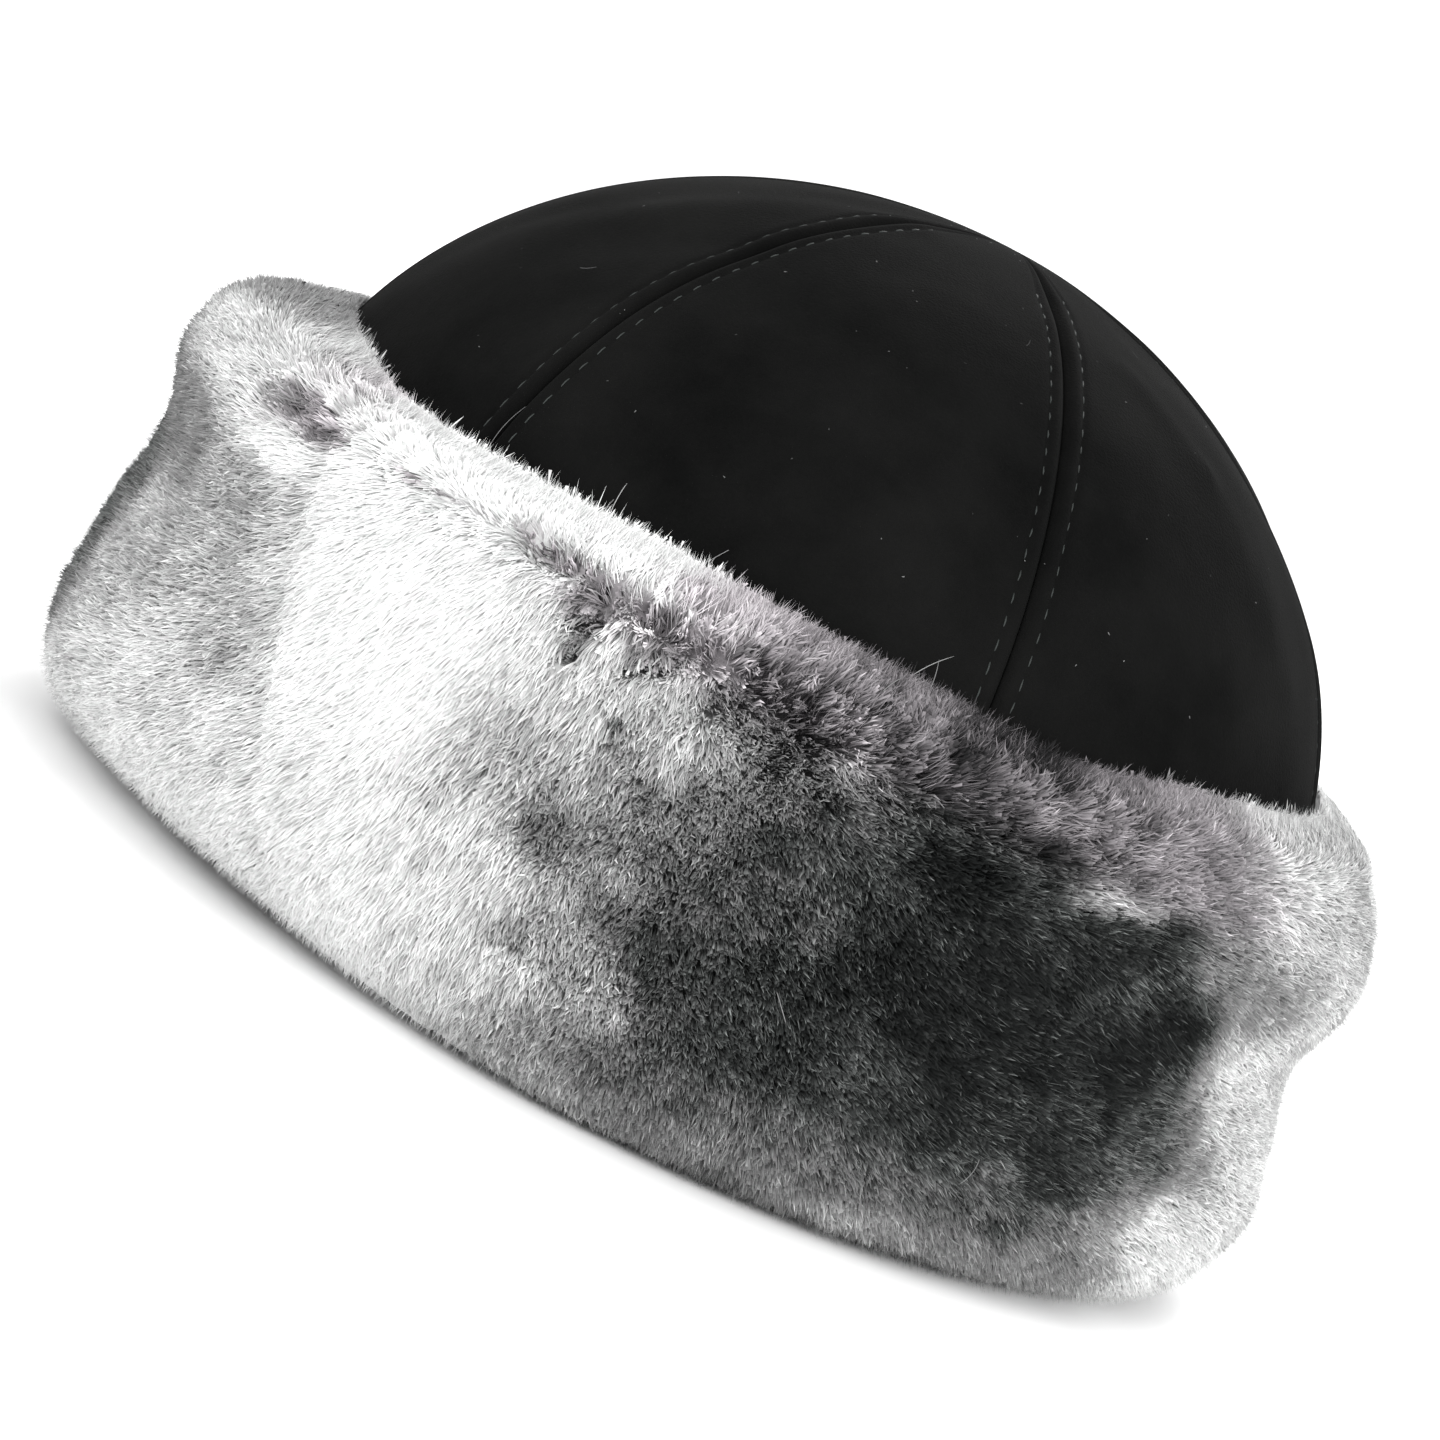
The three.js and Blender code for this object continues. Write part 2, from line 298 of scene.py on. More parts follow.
# Hair colour: shade runs from near black through grey to white, tint from green to purple brown
def makeHairGroup():
    group, given, out = newGroup(
        "hair color",
        [("Dark", "NodeSocketColor", (0.0045, 0.005, 0.005, 1)),
         ("Middle", "NodeSocketColor", (0.18, 0.18, 0.18, 1)),
         ("Light", "NodeSocketColor", (0.80, 0.805, 0.80, 1)),
         ("Warm Tint", "NodeSocketColor", (1.0, 0.93, 0.98, 1)),
         ("Cold Tint", "NodeSocketColor", (0.93, 1.0, 0.97, 1))],
        [("Color", "NodeSocketColor")])
    shade = addNode(group, "ShaderNodeAttribute", attribute_name="shade")
    tint = addNode(group, "ShaderNodeAttribute", attribute_name="tint")
    low = addNode(group, "ShaderNodeMapRange", {"From Min": 0.0, "From Max": 0.5})
    high = addNode(group, "ShaderNodeMapRange", {"From Min": 0.5, "From Max": 1.0})
    lowCurve = addNode(group, "ShaderNodeMath", {1: hairCurve["toMiddle"]}, operation="POWER")
    highCurve = addNode(group, "ShaderNodeMath", {1: hairCurve["toLight"]}, operation="POWER")
    warm = addNode(group, "ShaderNodeMapRange", {"From Min": 0.0, "From Max": 1.0})
    cold = addNode(group, "ShaderNodeMapRange", {"From Min": 0.0, "From Max": -1.0})
    toMiddle, toLight = addMix(group), addMix(group)
    warmed, cooled = addMix(group, blend="MULTIPLY"), addMix(group, blend="MULTIPLY")
    links = group.links
    links.new(shade.outputs["Fac"], low.inputs["Value"])
    links.new(shade.outputs["Fac"], high.inputs["Value"])
    links.new(low.outputs["Result"], lowCurve.inputs[0])
    links.new(high.outputs["Result"], highCurve.inputs[0])
    links.new(tint.outputs["Fac"], warm.inputs["Value"])
    links.new(tint.outputs["Fac"], cold.inputs["Value"])
    links.new(lowCurve.outputs[0], toMiddle["factor"])
    links.new(given.outputs["Dark"], toMiddle["first"])
    links.new(given.outputs["Middle"], toMiddle["second"])
    links.new(highCurve.outputs[0], toLight["factor"])
    links.new(toMiddle["result"], toLight["first"])
    links.new(given.outputs["Light"], toLight["second"])
    links.new(warm.outputs["Result"], warmed["factor"])
    links.new(toLight["result"], warmed["first"])
    links.new(given.outputs["Warm Tint"], warmed["second"])
    links.new(cold.outputs["Result"], cooled["factor"])
    links.new(warmed["result"], cooled["first"])
    links.new(given.outputs["Cold Tint"], cooled["second"])
    links.new(cooled["result"], out.inputs["Color"])
    return group


grainGroup = makeGrainGroup()
hairGroup = makeHairGroup()


def newMaterial(name, surface):
    material = bpy.data.materials.new(name)
    material.use_nodes = True
    shader = material.node_tree.nodes["Principled BSDF"]
    for socket, value in surface.items():
        shader.inputs[socket].default_value = value
    return material, material.node_tree, shader


suedeFinish = {
    "low": (0.0013, 0.0014, 0.0014, 1),
    "high": (0.0073, 0.0073, 0.0071, 1),
    "surface": {"Roughness": 0.95, "Specular IOR Level": 0.02, "Sheen Weight": 0.012,
                "Sheen Roughness": 0.45, "Sheen Tint": (0.8, 0.82, 0.8, 1)},
    "grain": {"Blotch Scale": 28.0, "Grain Scale": 1800.0, "Grain Share": 0.3},
    "bump": {"Strength": 0.5, "Distance": 0.0004},
}
threadFinish = {
    "low": (0.008, 0.011, 0.010, 1),
    "high": (0.020, 0.025, 0.023, 1),
    "surface": {"Roughness": 0.55, "Specular IOR Level": 0.35},
    "grain": {"Blotch Scale": 160.0, "Grain Scale": 5000.0, "Grain Share": 0.5},
    "bump": {"Strength": 0.4, "Distance": 0.0001},
}
furFinish = {"Roughness": 0.75, "Specular IOR Level": 0.1}
skinFinish = {"Roughness": 0.95, "Specular IOR Level": 0.1}


def makeGrained(name, finish):
    material, tree, shader = newMaterial(name, finish["surface"])
    grain = addNode(tree, "ShaderNodeGroup", finish["grain"], node_tree=grainGroup)
    color = addMix(tree, first=finish["low"], second=finish["high"])
    bump = addNode(tree, "ShaderNodeBump", finish["bump"])
    tree.links.new(grain.outputs["Mask"], color["factor"])
    tree.links.new(color["result"], shader.inputs["Base Color"])
    tree.links.new(grain.outputs["Height"], bump.inputs["Height"])
    tree.links.new(bump.outputs["Normal"], shader.inputs["Normal"])
    return material


def makeHair(name, finish):
    material, tree, shader = newMaterial(name, finish)
    hair = addNode(tree, "ShaderNodeGroup", node_tree=hairGroup)
    tree.links.new(hair.outputs["Color"], shader.inputs["Base Color"])
    return material


suedeMaterial = makeGrained("blackSuede", suedeFinish)
threadMaterial = makeGrained("seamThread", threadFinish)
furMaterial = makeHair("dyedFur", furFinish)
peltMaterial = makeHair("peltSkin", skinFinish)
print("materials are mixed")


# Crown

crown = {
    "radius": 100.6,          # outside, where the wall turns into the dome
    "rimRadius": 97.0,
    "rimHeight": 6.0,
    "domeStart": 69.5,
    "domeHeight": 84.5,
    "exponent": 1.95,
    "lean": 2.5,              # how far the soft top leans towards +X
    "wall": 2.0,
    "tipRadius": 1.4,
    "puff": 0.4,              # swell of a gore between its seams
    "heldBelow": 92.0,        # the cuff holds the suede smooth below this height
    "freeAbove": 112.0,
    "ripple": [(0.3, 13, 16)],  # gentle unevenness of the soft wall
    "calmTip": 1.4,           # the swell fades with the radius, times this, towards the tip
    "halfGap": 0.15,          # from a gore's edge to the middle of its seam
    "seams": [-151.2, -87.0, -37.5, 19.5, 80.5, 144.6],
    "wallRows": 6,
    "domeRows": 104,
    "middleColumns": 9,
}

# Across a seam: distance from it and lift of the suede, for the pressed-open allowances
seamProfile = {
    "distance": [0.0, 0.35, 0.8, 1.4, 2.1, 2.7, 3.2, 3.7, 4.4, 5.4, 7.0],
    "lift": [-1.0, -0.68, -0.12, 0.30, 0.36, 0.12, -0.16, 0.04, 0.12, 0.05, 0.0],
    "outerColumns": [9.5, 13.0],
    "risesOver": (70, 88),    # heights between which the relief comes to its full depth
    "fullWidth": 16.0,        # half-width below which a gore's seams crowd together
}

# Soft creases: from and to are azimuth and height, width and lift in millimetres
crownCreases = [
    {"from": (-58, 131), "to": (-34, 150), "width": 5.0, "lift": 1.0},
    {"from": (-55, 122), "to": (-40, 134), "width": 6.0, "lift": -0.7},
    {"from": (38, 145), "to": (49, 136), "width": 3.2, "lift": 0.7},
    {"from": (49, 136), "to": (61, 110), "width": 3.6, "lift": 0.8},
    {"from": (66, 132), "to": (70, 104), "width": 6.0, "lift": -0.6},
    {"from": (-20, 136), "to": (-4, 143), "width": 4.0, "lift": 0.3},
    {"from": (-76, 100), "to": (-70, 126), "width": 5.0, "lift": -0.6},
    {"from": (112, 140), "to": (120, 108), "width": 4.5, "lift": 0.9},
    {"from": (168, 138), "to": (184, 128), "width": 6.0, "lift": -0.9},
    {"from": (-124, 134), "to": (-116, 104), "width": 5.0, "lift": 0.8},
    {"from": (64, 149), "to": (88, 128), "width": 14.0, "lift": -1.6},
    {"from": (14, 151), "to": (60, 152), "width": 12.0, "lift": -1.2},
]


def crownRadiusAt(height):
    height = np.asarray(height, dtype=float)
    drop = (crown["domeStart"] - height) / crown["domeStart"]
    wall = crown["radius"] - (crown["radius"] - crown["rimRadius"]) * drop ** 2
    rise = np.clip((height - crown["domeStart"]) / crown["domeHeight"], 0, 1)
    power = crown["exponent"]
    dome = crown["radius"] * (1 - rise ** power) ** (1 / power)
    return np.where(height < crown["domeStart"], wall, dome)


def pointAt(azimuth, radius, height):
    rise = np.maximum(0, (height - crown["domeStart"]) / crown["domeHeight"])
    angle = np.radians(azimuth)
    x = radius * np.sin(angle) + crown["lean"] * rise ** 2
    return np.stack(np.broadcast_arrays(x, -radius * np.cos(angle), height), axis=-1)


# Radius, height and outward direction of the crown's profile, rim to tip
def crownProfile(wallRows, domeRows):
    power = 2 / crown["exponent"]
    tipTurn = math.acos((crown["tipRadius"] / crown["radius"]) ** (1 / power))
    wallHeights = np.linspace(crown["rimHeight"], crown["domeStart"], wallRows, endpoint=False)
    turns = np.linspace(0, tipTurn, domeRows + 1)
    domeHeights = crown["domeStart"] + crown["domeHeight"] * np.sin(turns) ** power
    domeRadii = crown["radius"] * np.cos(turns) ** power
    heights = np.concatenate([wallHeights, domeHeights])
    radii = np.concatenate([crownRadiusAt(wallHeights), domeRadii])
    along = unit(np.stack([np.gradient(radii), np.gradient(heights)], axis=-1))
    return radii, heights, along[:, 1], -along[:, 0]


def creaseLift(points):
    lift = np.zeros(points.shape[:-1])
    for crease in crownCreases:
        ends = []
        for azimuth, height in (crease["from"], crease["to"]):
            ends.append(pointAt(azimuth, float(crownRadiusAt(height)), float(height)))
        span = ends[1] - ends[0]
        share = np.clip((points - ends[0]) @ span / (span @ span), 0, 1)
        distance = np.linalg.norm(points - ends[0] - share[..., None] * span, axis=-1)
        lift += crease["lift"] * np.exp(-(distance / crease["width"]) ** 2)
    return lift


# How far the free suede swells out from the crown's plain profile
def suedeSwell(azimuth, radius, height, share):
    free = smoothStep(crown["heldBelow"], crown["freeAbove"], height)
    swell = crown["puff"] * 4 * share * (1 - share) + creaseLift(pointAt(azimuth, radius, height))
    swell = swell + layeredNoise(azimuth, height, crown["ripple"], 5)
    return swell * free * np.minimum(1.0, radius / crown["radius"] * crown["calmTip"])


# Columns of a gore: distances from the seam on its left side, for one half-width
def goreOffsets(half):
    near = np.array(seamProfile["distance"] + seamProfile["outerColumns"])
    crowd = min(1.0, half / seamProfile["fullWidth"])
    near = near * crowd
    middle = np.linspace(near[-1], 2 * half - near[-1], crown["middleColumns"] + 2)[1:-1]
    return np.concatenate([near, middle, 2 * half - near[::-1]])


def goreSide(start, width, depth):
    radii, heights, outward, upward = crownProfile(crown["wallRows"], crown["domeRows"])
    distances, lifts = seamProfile["distance"], seamProfile["lift"]
    grid = []
    for radius, height, out, up in zip(radii, heights, outward, upward):
        half = radius * math.radians(width) / 2
        offsets = goreOffsets(half)
        fromSeam = np.minimum(offsets, 2 * half - offsets)
        crowd = min(1.0, half / seamProfile["fullWidth"])
        gap = math.degrees(crown["halfGap"] / radius)
        share = offsets / (2 * half)
        azimuth = start + gap + (width - 2 * gap) * share
        swell = suedeSwell(azimuth, radius, height, share)
        seam = np.interp(fromSeam / crowd, distances, lifts) * crowd
        seam = seam * smoothStep(*seamProfile["risesOver"], height)
        lift = swell + seam if depth == 0 else swell - depth
        grid.append(pointAt(azimuth, radius + out * lift, height + up * lift))
    return np.array(grid)


# Faces of a closed solid between two grids of points, front and back, given row by row
def solidFaces(rowCount, columnCount):
    index = np.arange(2 * rowCount * columnCount).reshape(2, rowCount, columnCount)
    front, back = index

    def quads(a, b, c, d):
        return np.stack([a.ravel(), b.ravel(), c.ravel(), d.ravel()], axis=-1)

    return np.concatenate([
        quads(front[:-1, :-1], front[:-1, 1:], front[1:, 1:], front[1:, :-1]),
        quads(back[:-1, :-1], back[1:, :-1], back[1:, 1:], back[:-1, 1:]),
        quads(back[:-1, 0], front[:-1, 0], front[1:, 0], back[1:, 0]),
        quads(front[:-1, -1], back[:-1, -1], back[1:, -1], front[1:, -1]),
        quads(back[0, :-1], back[0, 1:], front[0, 1:], front[0, :-1]),
        quads(front[-1, :-1], front[-1, 1:], back[-1, 1:], back[-1, :-1]),
    ])


def addGores():
    seams = crown["seams"]
    for i, start in enumerate(seams):
        width = (seams[(i + 1) % len(seams)] - start) % 360
        front = goreSide(start, width, 0)
        back = goreSide(start, width, crown["wall"])
        faces = solidFaces(*front.shape[:2])
        points = np.concatenate([front.reshape(-1, 3), back.reshape(-1, 3)])
        piece = newPiece(f"suede_gore_{i + 1}", points, faces, suedeMaterial)
        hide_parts(f"crown_gore_{i + 1}")


# Stitches: two rows beside each seam, a bead of thread for each stitch

stitching = {
    "fromSeam": 3.2,
    "pitch": 4.2,
    "length": 2.75,
    "width": 0.34,
    "startHeight": 84.0,      # under the cuff's top edge
    "stopRadius": 8.5,        # the rows end where the gores meet at the top
    "sink": 0.3,
    "stand": 0.1,
    "valley": 0.16,           # the suede is pulled in this far along a row
    "ends": [-1.0, -0.72, 0.0, 0.72, 1.0],
    "girth": [0.35, 0.85, 1.0, 0.85, 0.35],
    "sides": 5,
    "shift": 0.12,            # how unevenly the stitches are spaced,
    "lengthSpread": (0.93, 1.05),
    "yaw": 0.1,               # and how far their ends stray from the row
    "probe": 0.5,             # the row's direction is read this far to either side
    "pathRows": 600,
}


def stitchPath(azimuth, side):
    radii, heights, outward, upward = crownProfile(crown["wallRows"], stitching["pathRows"])
    shown = (heights > stitching["startHeight"]) & (radii > stitching["stopRadius"])
    radii, heights, outward, upward = (row[shown] for row in (radii, heights, outward, upward))
    turned = azimuth + side * np.degrees(stitching["fromSeam"] / radii)
    lift = suedeSwell(turned, radii, heights, 0) + stitching["stand"] - stitching["valley"]
    points = pointAt(turned, radii + outward * lift, heights + upward * lift)
    angle = np.radians(turned)
    out = np.stack([outward * np.sin(angle), -outward * np.cos(angle), upward], axis=-1)
    return points, unit(out)


def readPath(path, run, at):
    return np.array([np.interp(at, run, path[:, axis]) for axis in range(3)])


def stitchRow(points, out, random):
    steps = np.linalg.norm(np.diff(points, axis=0), axis=1)
    run = np.concatenate([[0], np.cumsum(steps)])
    centers = np.arange(stitching["pitch"] / 2, run[-1], stitching["pitch"])
    centers = centers + random.uniform(-stitching["shift"], stitching["shift"], len(centers))
    turns = np.arange(stitching["sides"]) / stitching["sides"] * 2 * math.pi
    beads = []
    for center in centers:
        half = stitching["length"] / 2 * random.uniform(*stitching["lengthSpread"])
        yaw = random.uniform(-stitching["yaw"], stitching["yaw"])
        for share, girth in zip(stitching["ends"], stitching["girth"]):
            at = np.clip(center + share * half, 0, run[-1])
            place = readPath(points, run, at)
            normal = unit(readPath(out, run, at))
            ahead = np.clip(at + stitching["probe"], 0, run[-1])
            behind = ahead - 2 * stitching["probe"]
            along = unit(readPath(points, run, ahead) - readPath(points, run, behind))
            side = np.cross(normal, along)
            sunk = stitching["sink"] * abs(share) ** 3
            middle = place + normal * -sunk + side * (yaw * share)
            radius = stitching["width"] / 2 * girth
            around = np.cos(turns)[:, None] * side + np.sin(turns)[:, None] * normal
            beads.append(middle + radius * around)
    return np.array(beads).reshape(len(centers), len(stitching["ends"]), stitching["sides"], 3)


def addStitches():
    random = np.random.default_rng(31)
    sides, rings = stitching["sides"], len(stitching["ends"])
    ringIndex = np.arange(rings * sides).reshape(rings, sides)
    nextIndex = np.roll(ringIndex, -1, axis=1)
    tube = np.stack([ringIndex[:-1], nextIndex[:-1], nextIndex[1:]], axis=-1).reshape(-1, 3)
    tubeRest = np.stack([ringIndex[:-1], nextIndex[1:], ringIndex[1:]], axis=-1).reshape(-1, 3)
    fan = np.arange(1, sides - 1)
    startCap = np.stack([0 * fan, fan + 1, fan], axis=-1)
    endCap = np.stack([0 * fan, fan, fan + 1], axis=-1) + (rings - 1) * sides
    bead = np.concatenate([tube, tubeRest, startCap, endCap])
    for i, seam in enumerate(crown["seams"]):
        beads = np.concatenate([stitchRow(*stitchPath(seam, side), random) for side in (-1, 1)])
        points = beads.reshape(-1, 3)
        first = np.arange(len(beads)) * rings * sides
        faces = (first[:, None, None] + bead[None]).reshape(-1, 3)
        newPiece(f"seam_stitches_{i + 1}", points, faces, threadMaterial)


# Lint on the suede: small specks and a few short fibres, flat ribbons of two triangles a step

lint = {
    "specks": 130,
    "speckLength": (0.2, 0.55),
    "speckWidth": 0.19,
    "fibres": 10,
    "fibreLength": (1.5, 4.0),
    "fibreWidth": 0.11,
    "standOff": 0.1,
    "lowest": 97.0,
    "highest": 150.0,
    "shade": (0.15, 0.45),
    "speckPoints": 3,
    "fibrePoints": 6,
    "bend": 0.5,
    "probe": 0.5,             # the wall's slope is read over this height
}
ribbonTaper = {"start": -0.6, "ease": 1.02, "least": 0.05}  # slight at the start, to a fifth at the end

# Where a vertex lies on the baked picture: shade runs across it and tint up it
bakeChart = {
    "margin": 0.02,
    "tintReach": 0.45,
    "apart": 0.002,           # keeps a face's corners off each other
}


def chartPlace(shade, tint, apart):
    margin = bakeChart["margin"]
    across = margin + (1 - 2 * margin) * shade
    return np.stack([across, 0.5 + bakeChart["tintReach"] * tint + apart], axis=-1)


# A bent ribbon along points, with a width and the direction that its face looks in
def ribbon(points, width, facing):
    along = unit(np.gradient(points, axis=0))
    side = unit(np.cross(along, facing)) * width / 2
    share = np.linspace(ribbonTaper["start"], 1, len(points))
    taper = np.sqrt(np.clip(ribbonTaper["ease"] - share ** 4, ribbonTaper["least"], 1))[:, None]
    edges = np.stack([points - side * taper, points + side * taper], axis=1).reshape(-1, 3)
    start = 2 * np.arange(len(points) - 1)[:, None]
    return edges, np.concatenate([start + [0, 1, 3], start + [0, 3, 2]], axis=0)


def joinRibbons(name, ribbons, shades):
    points, faces, shade = [], [], []
    first = 0
    for (edges, triangles), value in zip(ribbons, shades):
        points.append(edges)
        faces.append(triangles + first)
        shade.append(np.full(len(edges), value))
        first += len(edges)
    shade = np.concatenate(shade)
    tint = np.zeros(len(shade))
    uv = chartPlace(shade, tint, bakeChart["apart"] * (np.arange(len(shade)) % 2 - 0.5))
    attributes = {"shade": shade, "tint": tint}
    return newPiece(name, np.concatenate(points), np.concatenate(faces), furMaterial,
                    attributes, None, uv)


def addLint():
    random = np.random.default_rng(61)
    ribbons = []
    for i in range(lint["specks"] + lint["fibres"]):
        isSpeck = i < lint["specks"]
        length = random.uniform(*(lint["speckLength"] if isSpeck else lint["fibreLength"]))
        azimuth = random.uniform(-180, 180)
        height = random.uniform(lint["lowest"], lint["highest"])
        turn = random.uniform(0, 2 * math.pi)
        bend = random.uniform(-lint["bend"], lint["bend"])
        run = np.linspace(-0.5, 0.5, lint["speckPoints"] if isSpeck else lint["fibrePoints"]) * length
        radius = crownRadiusAt(height)
        narrower = float(radius - crownRadiusAt(height + lint["probe"]))
        slope = math.atan2(narrower, lint["probe"])
        across = run * math.cos(turn) + bend * run ** 2 / length * math.sin(turn)
        upward = run * math.sin(turn) - bend * run ** 2 / length * math.cos(turn)
        azimuths = azimuth + np.degrees(across / radius)
        heights = height + upward * math.cos(slope)
        radii = crownRadiusAt(heights)
        starts = np.array(crown["seams"])
        gore = np.argmin((azimuth - starts) % 360)
        width = (starts[(gore + 1) % len(starts)] - starts[gore]) % 360
        share = ((azimuths - starts[gore]) % 360) / width
        lift = suedeSwell(azimuths, radii, heights, share) + lint["standOff"]
        angle = math.radians(azimuth)
        out = np.array([math.sin(angle) * math.cos(slope), -math.cos(angle) * math.cos(slope),
                        math.sin(slope)])
        points = pointAt(azimuths, radii, heights) + lift[:, None] * out
        ribbons.append(ribbon(points, lint["speckWidth"] if isSpeck else lint["fibreWidth"], out))
    shades = random.uniform(*lint["shade"], len(ribbons))
    joinRibbons("suede_lint", ribbons, shades)


addGores()
addStitches()
addLint()
print("crown is sewn")


# Cuff

# The fur's outer form by azimuth: foot is the edge of the flat underside, lobe the lower bulge,
# waist the groove, lump the upper bulge, crest the shoulder and top the edge at the crown
sectionColumns = ["azimuth", "foot", "footHeight", "lobe", "waist", "waistHeight", "lump",
                  "crest", "crestHeight", "topHeight"]
sectionRows = [
    [-170, 104, 0, 120.5, 119.0, 55.5, 119.5, 112.0, 84.5, 91.5],
    [-145, 104, 0, 122.5, 120.0, 57.5, 121.0, 113.0, 85.5, 92.0],
    [-120, 104, 0, 123.5, 119.5, 58.5, 122.0, 114.5, 86.0, 90.5],
    [-97, 103.5, 0, 123.8, 120.0, 59.5, 123.5, 116.0, 87.5, 90.5],
    [-81, 102.5, 0.9, 124.0, 120.8, 59.5, 124.0, 117.0, 88.5, 91.0],
    [-64, 99.5, 3.4, 123.5, 119.0, 59.5, 121.5, 114.0, 86.0, 88.5],
    [-48, 98.8, 4.2, 122.0, 119.5, 57.5, 118.5, 111.5, 83.0, 85.5],
    [-32, 99.5, 3.4, 121.0, 119.8, 55.5, 117.5, 110.5, 82.0, 86.2],
    [-15, 101.5, 1.6, 120.3, 119.2, 54.5, 117.3, 110.3, 82.5, 87.8],
    [0, 103, 0, 120.0, 118.8, 53.5, 117.3, 110.5, 82.6, 88.0],
    [14, 104, 0, 120.2, 118.6, 52.5, 117.5, 110.3, 82.0, 88.2],
    [28, 104, 0, 120.8, 118.6, 51.5, 117.8, 109.5, 81.0, 87.0],
    [42, 104, 0, 121.6, 118.2, 49.5, 119.3, 111.5, 85.5, 89.8],
    [58, 104, 0, 122.4, 117.2, 48.5, 120.3, 112.5, 86.6, 90.6],
    [80, 104, 0, 123.0, 116.5, 47.5, 120.8, 112.5, 87.0, 91.0],
    [100, 104, 0, 122.6, 117.2, 49.5, 120.6, 113.0, 87.6, 93.0],
    [122, 104, 0, 122.0, 118.4, 51.5, 120.2, 113.0, 87.0, 93.5],
    [146, 104, 0, 121.2, 118.6, 54.5, 119.6, 112.4, 85.0, 92.0],
    [168, 104, 0, 120.4, 118.6, 55.5, 119.2, 112.0, 84.0, 91.0],
]

cuff = {
    "joins": [-160.0, -41.0, 80.0],   # where the pelts meet
    "lobeHeight": 23.0,
    "lumpShare": 0.48,
    "joinLean": 0.23,                 # degrees a millimetre, of the pelts' join at the front
    "joinMiddle": 52.0,               # height where that join is at its azimuth
    "peltGap": 0.3,                   # degrees between the pelts' skins
    "clearance": 0.5,                 # from the crown to the cuff's inner face
    "footInset": 0.2,
    "footSteps": 9,
    "flankSteps": 8,
    "lipSteps": 4,
    "lipWidth": 1.2,
    "overLip": 6.0,                   # the fur's form runs on this far up the crown
    "lipStandOff": 0.9,
    "columns": 720,
    "rows": 200,
    "skinColumns": 60,
    "skinRows": 40,
    "skinDepth": 6.2,                 # from the tips down to the skin, on the flank
    "skinDepthFoot": 2.4,
    "skinDepthLip": 1.0,
    "skinFullFrom": (4, 18),          # millimetres from the foot, and from the lip,
    "skinLipTo": (0, 12),             # over which the depth changes
    "skinFloor": 0.4,
    "skinShade": 0.55,                # the skin's shade, as a share of the fur's tone,
    "skinShadeMore": 0.4,             # and what is added to that share in the white fur
    "skinShadeOver": (0.5, 0.95),
}


def sectionValues(azimuths):
    table = np.array(sectionRows, dtype=float)
    starts = table[:, 0]
    spans = (np.roll(starts, -1) - starts) % 360
    turned = (azimuths[:, None] - starts[None, :]) % 360
    inside = np.argmax(turned < spans[None, :], axis=1)
    share = turned[np.arange(len(azimuths)), inside] / spans[inside]
    values = {}
    for column, name in enumerate(sectionColumns[1:], start=1):
        before, here, after, beyond = (table[(inside + step) % len(table), column]
                                       for step in (-1, 0, 1, 2))
        slopeHere, slopeAfter = (after - before) / 2, (beyond - here) / 2
        square, cube = share ** 2, share ** 3
        blended = ((2 * cube - 3 * square + 1) * here + (cube - 2 * square + share) * slopeHere
                   + (3 * square - 2 * cube) * after + (cube - square) * slopeAfter)
        values[name] = np.maximum(0, blended)
    return values


def splineThrough(points, steps):
    count = len(points)
    found = []
    for i in range(count - 1):
        before, here = points[max(0, i - 1)], points[i]
        after, beyond = points[i + 1], points[min(count - 1, i + 2)]
        for share in np.arange(steps) / steps:
            square, cube = share ** 2, share ** 3
            found.append(0.5 * (2 * here + (after - before) * share
                                + (2 * before - 5 * here + 4 * after - beyond) * square
                                + (3 * here - before - 3 * after + beyond) * cube))
    found.append(points[-1])
    return found


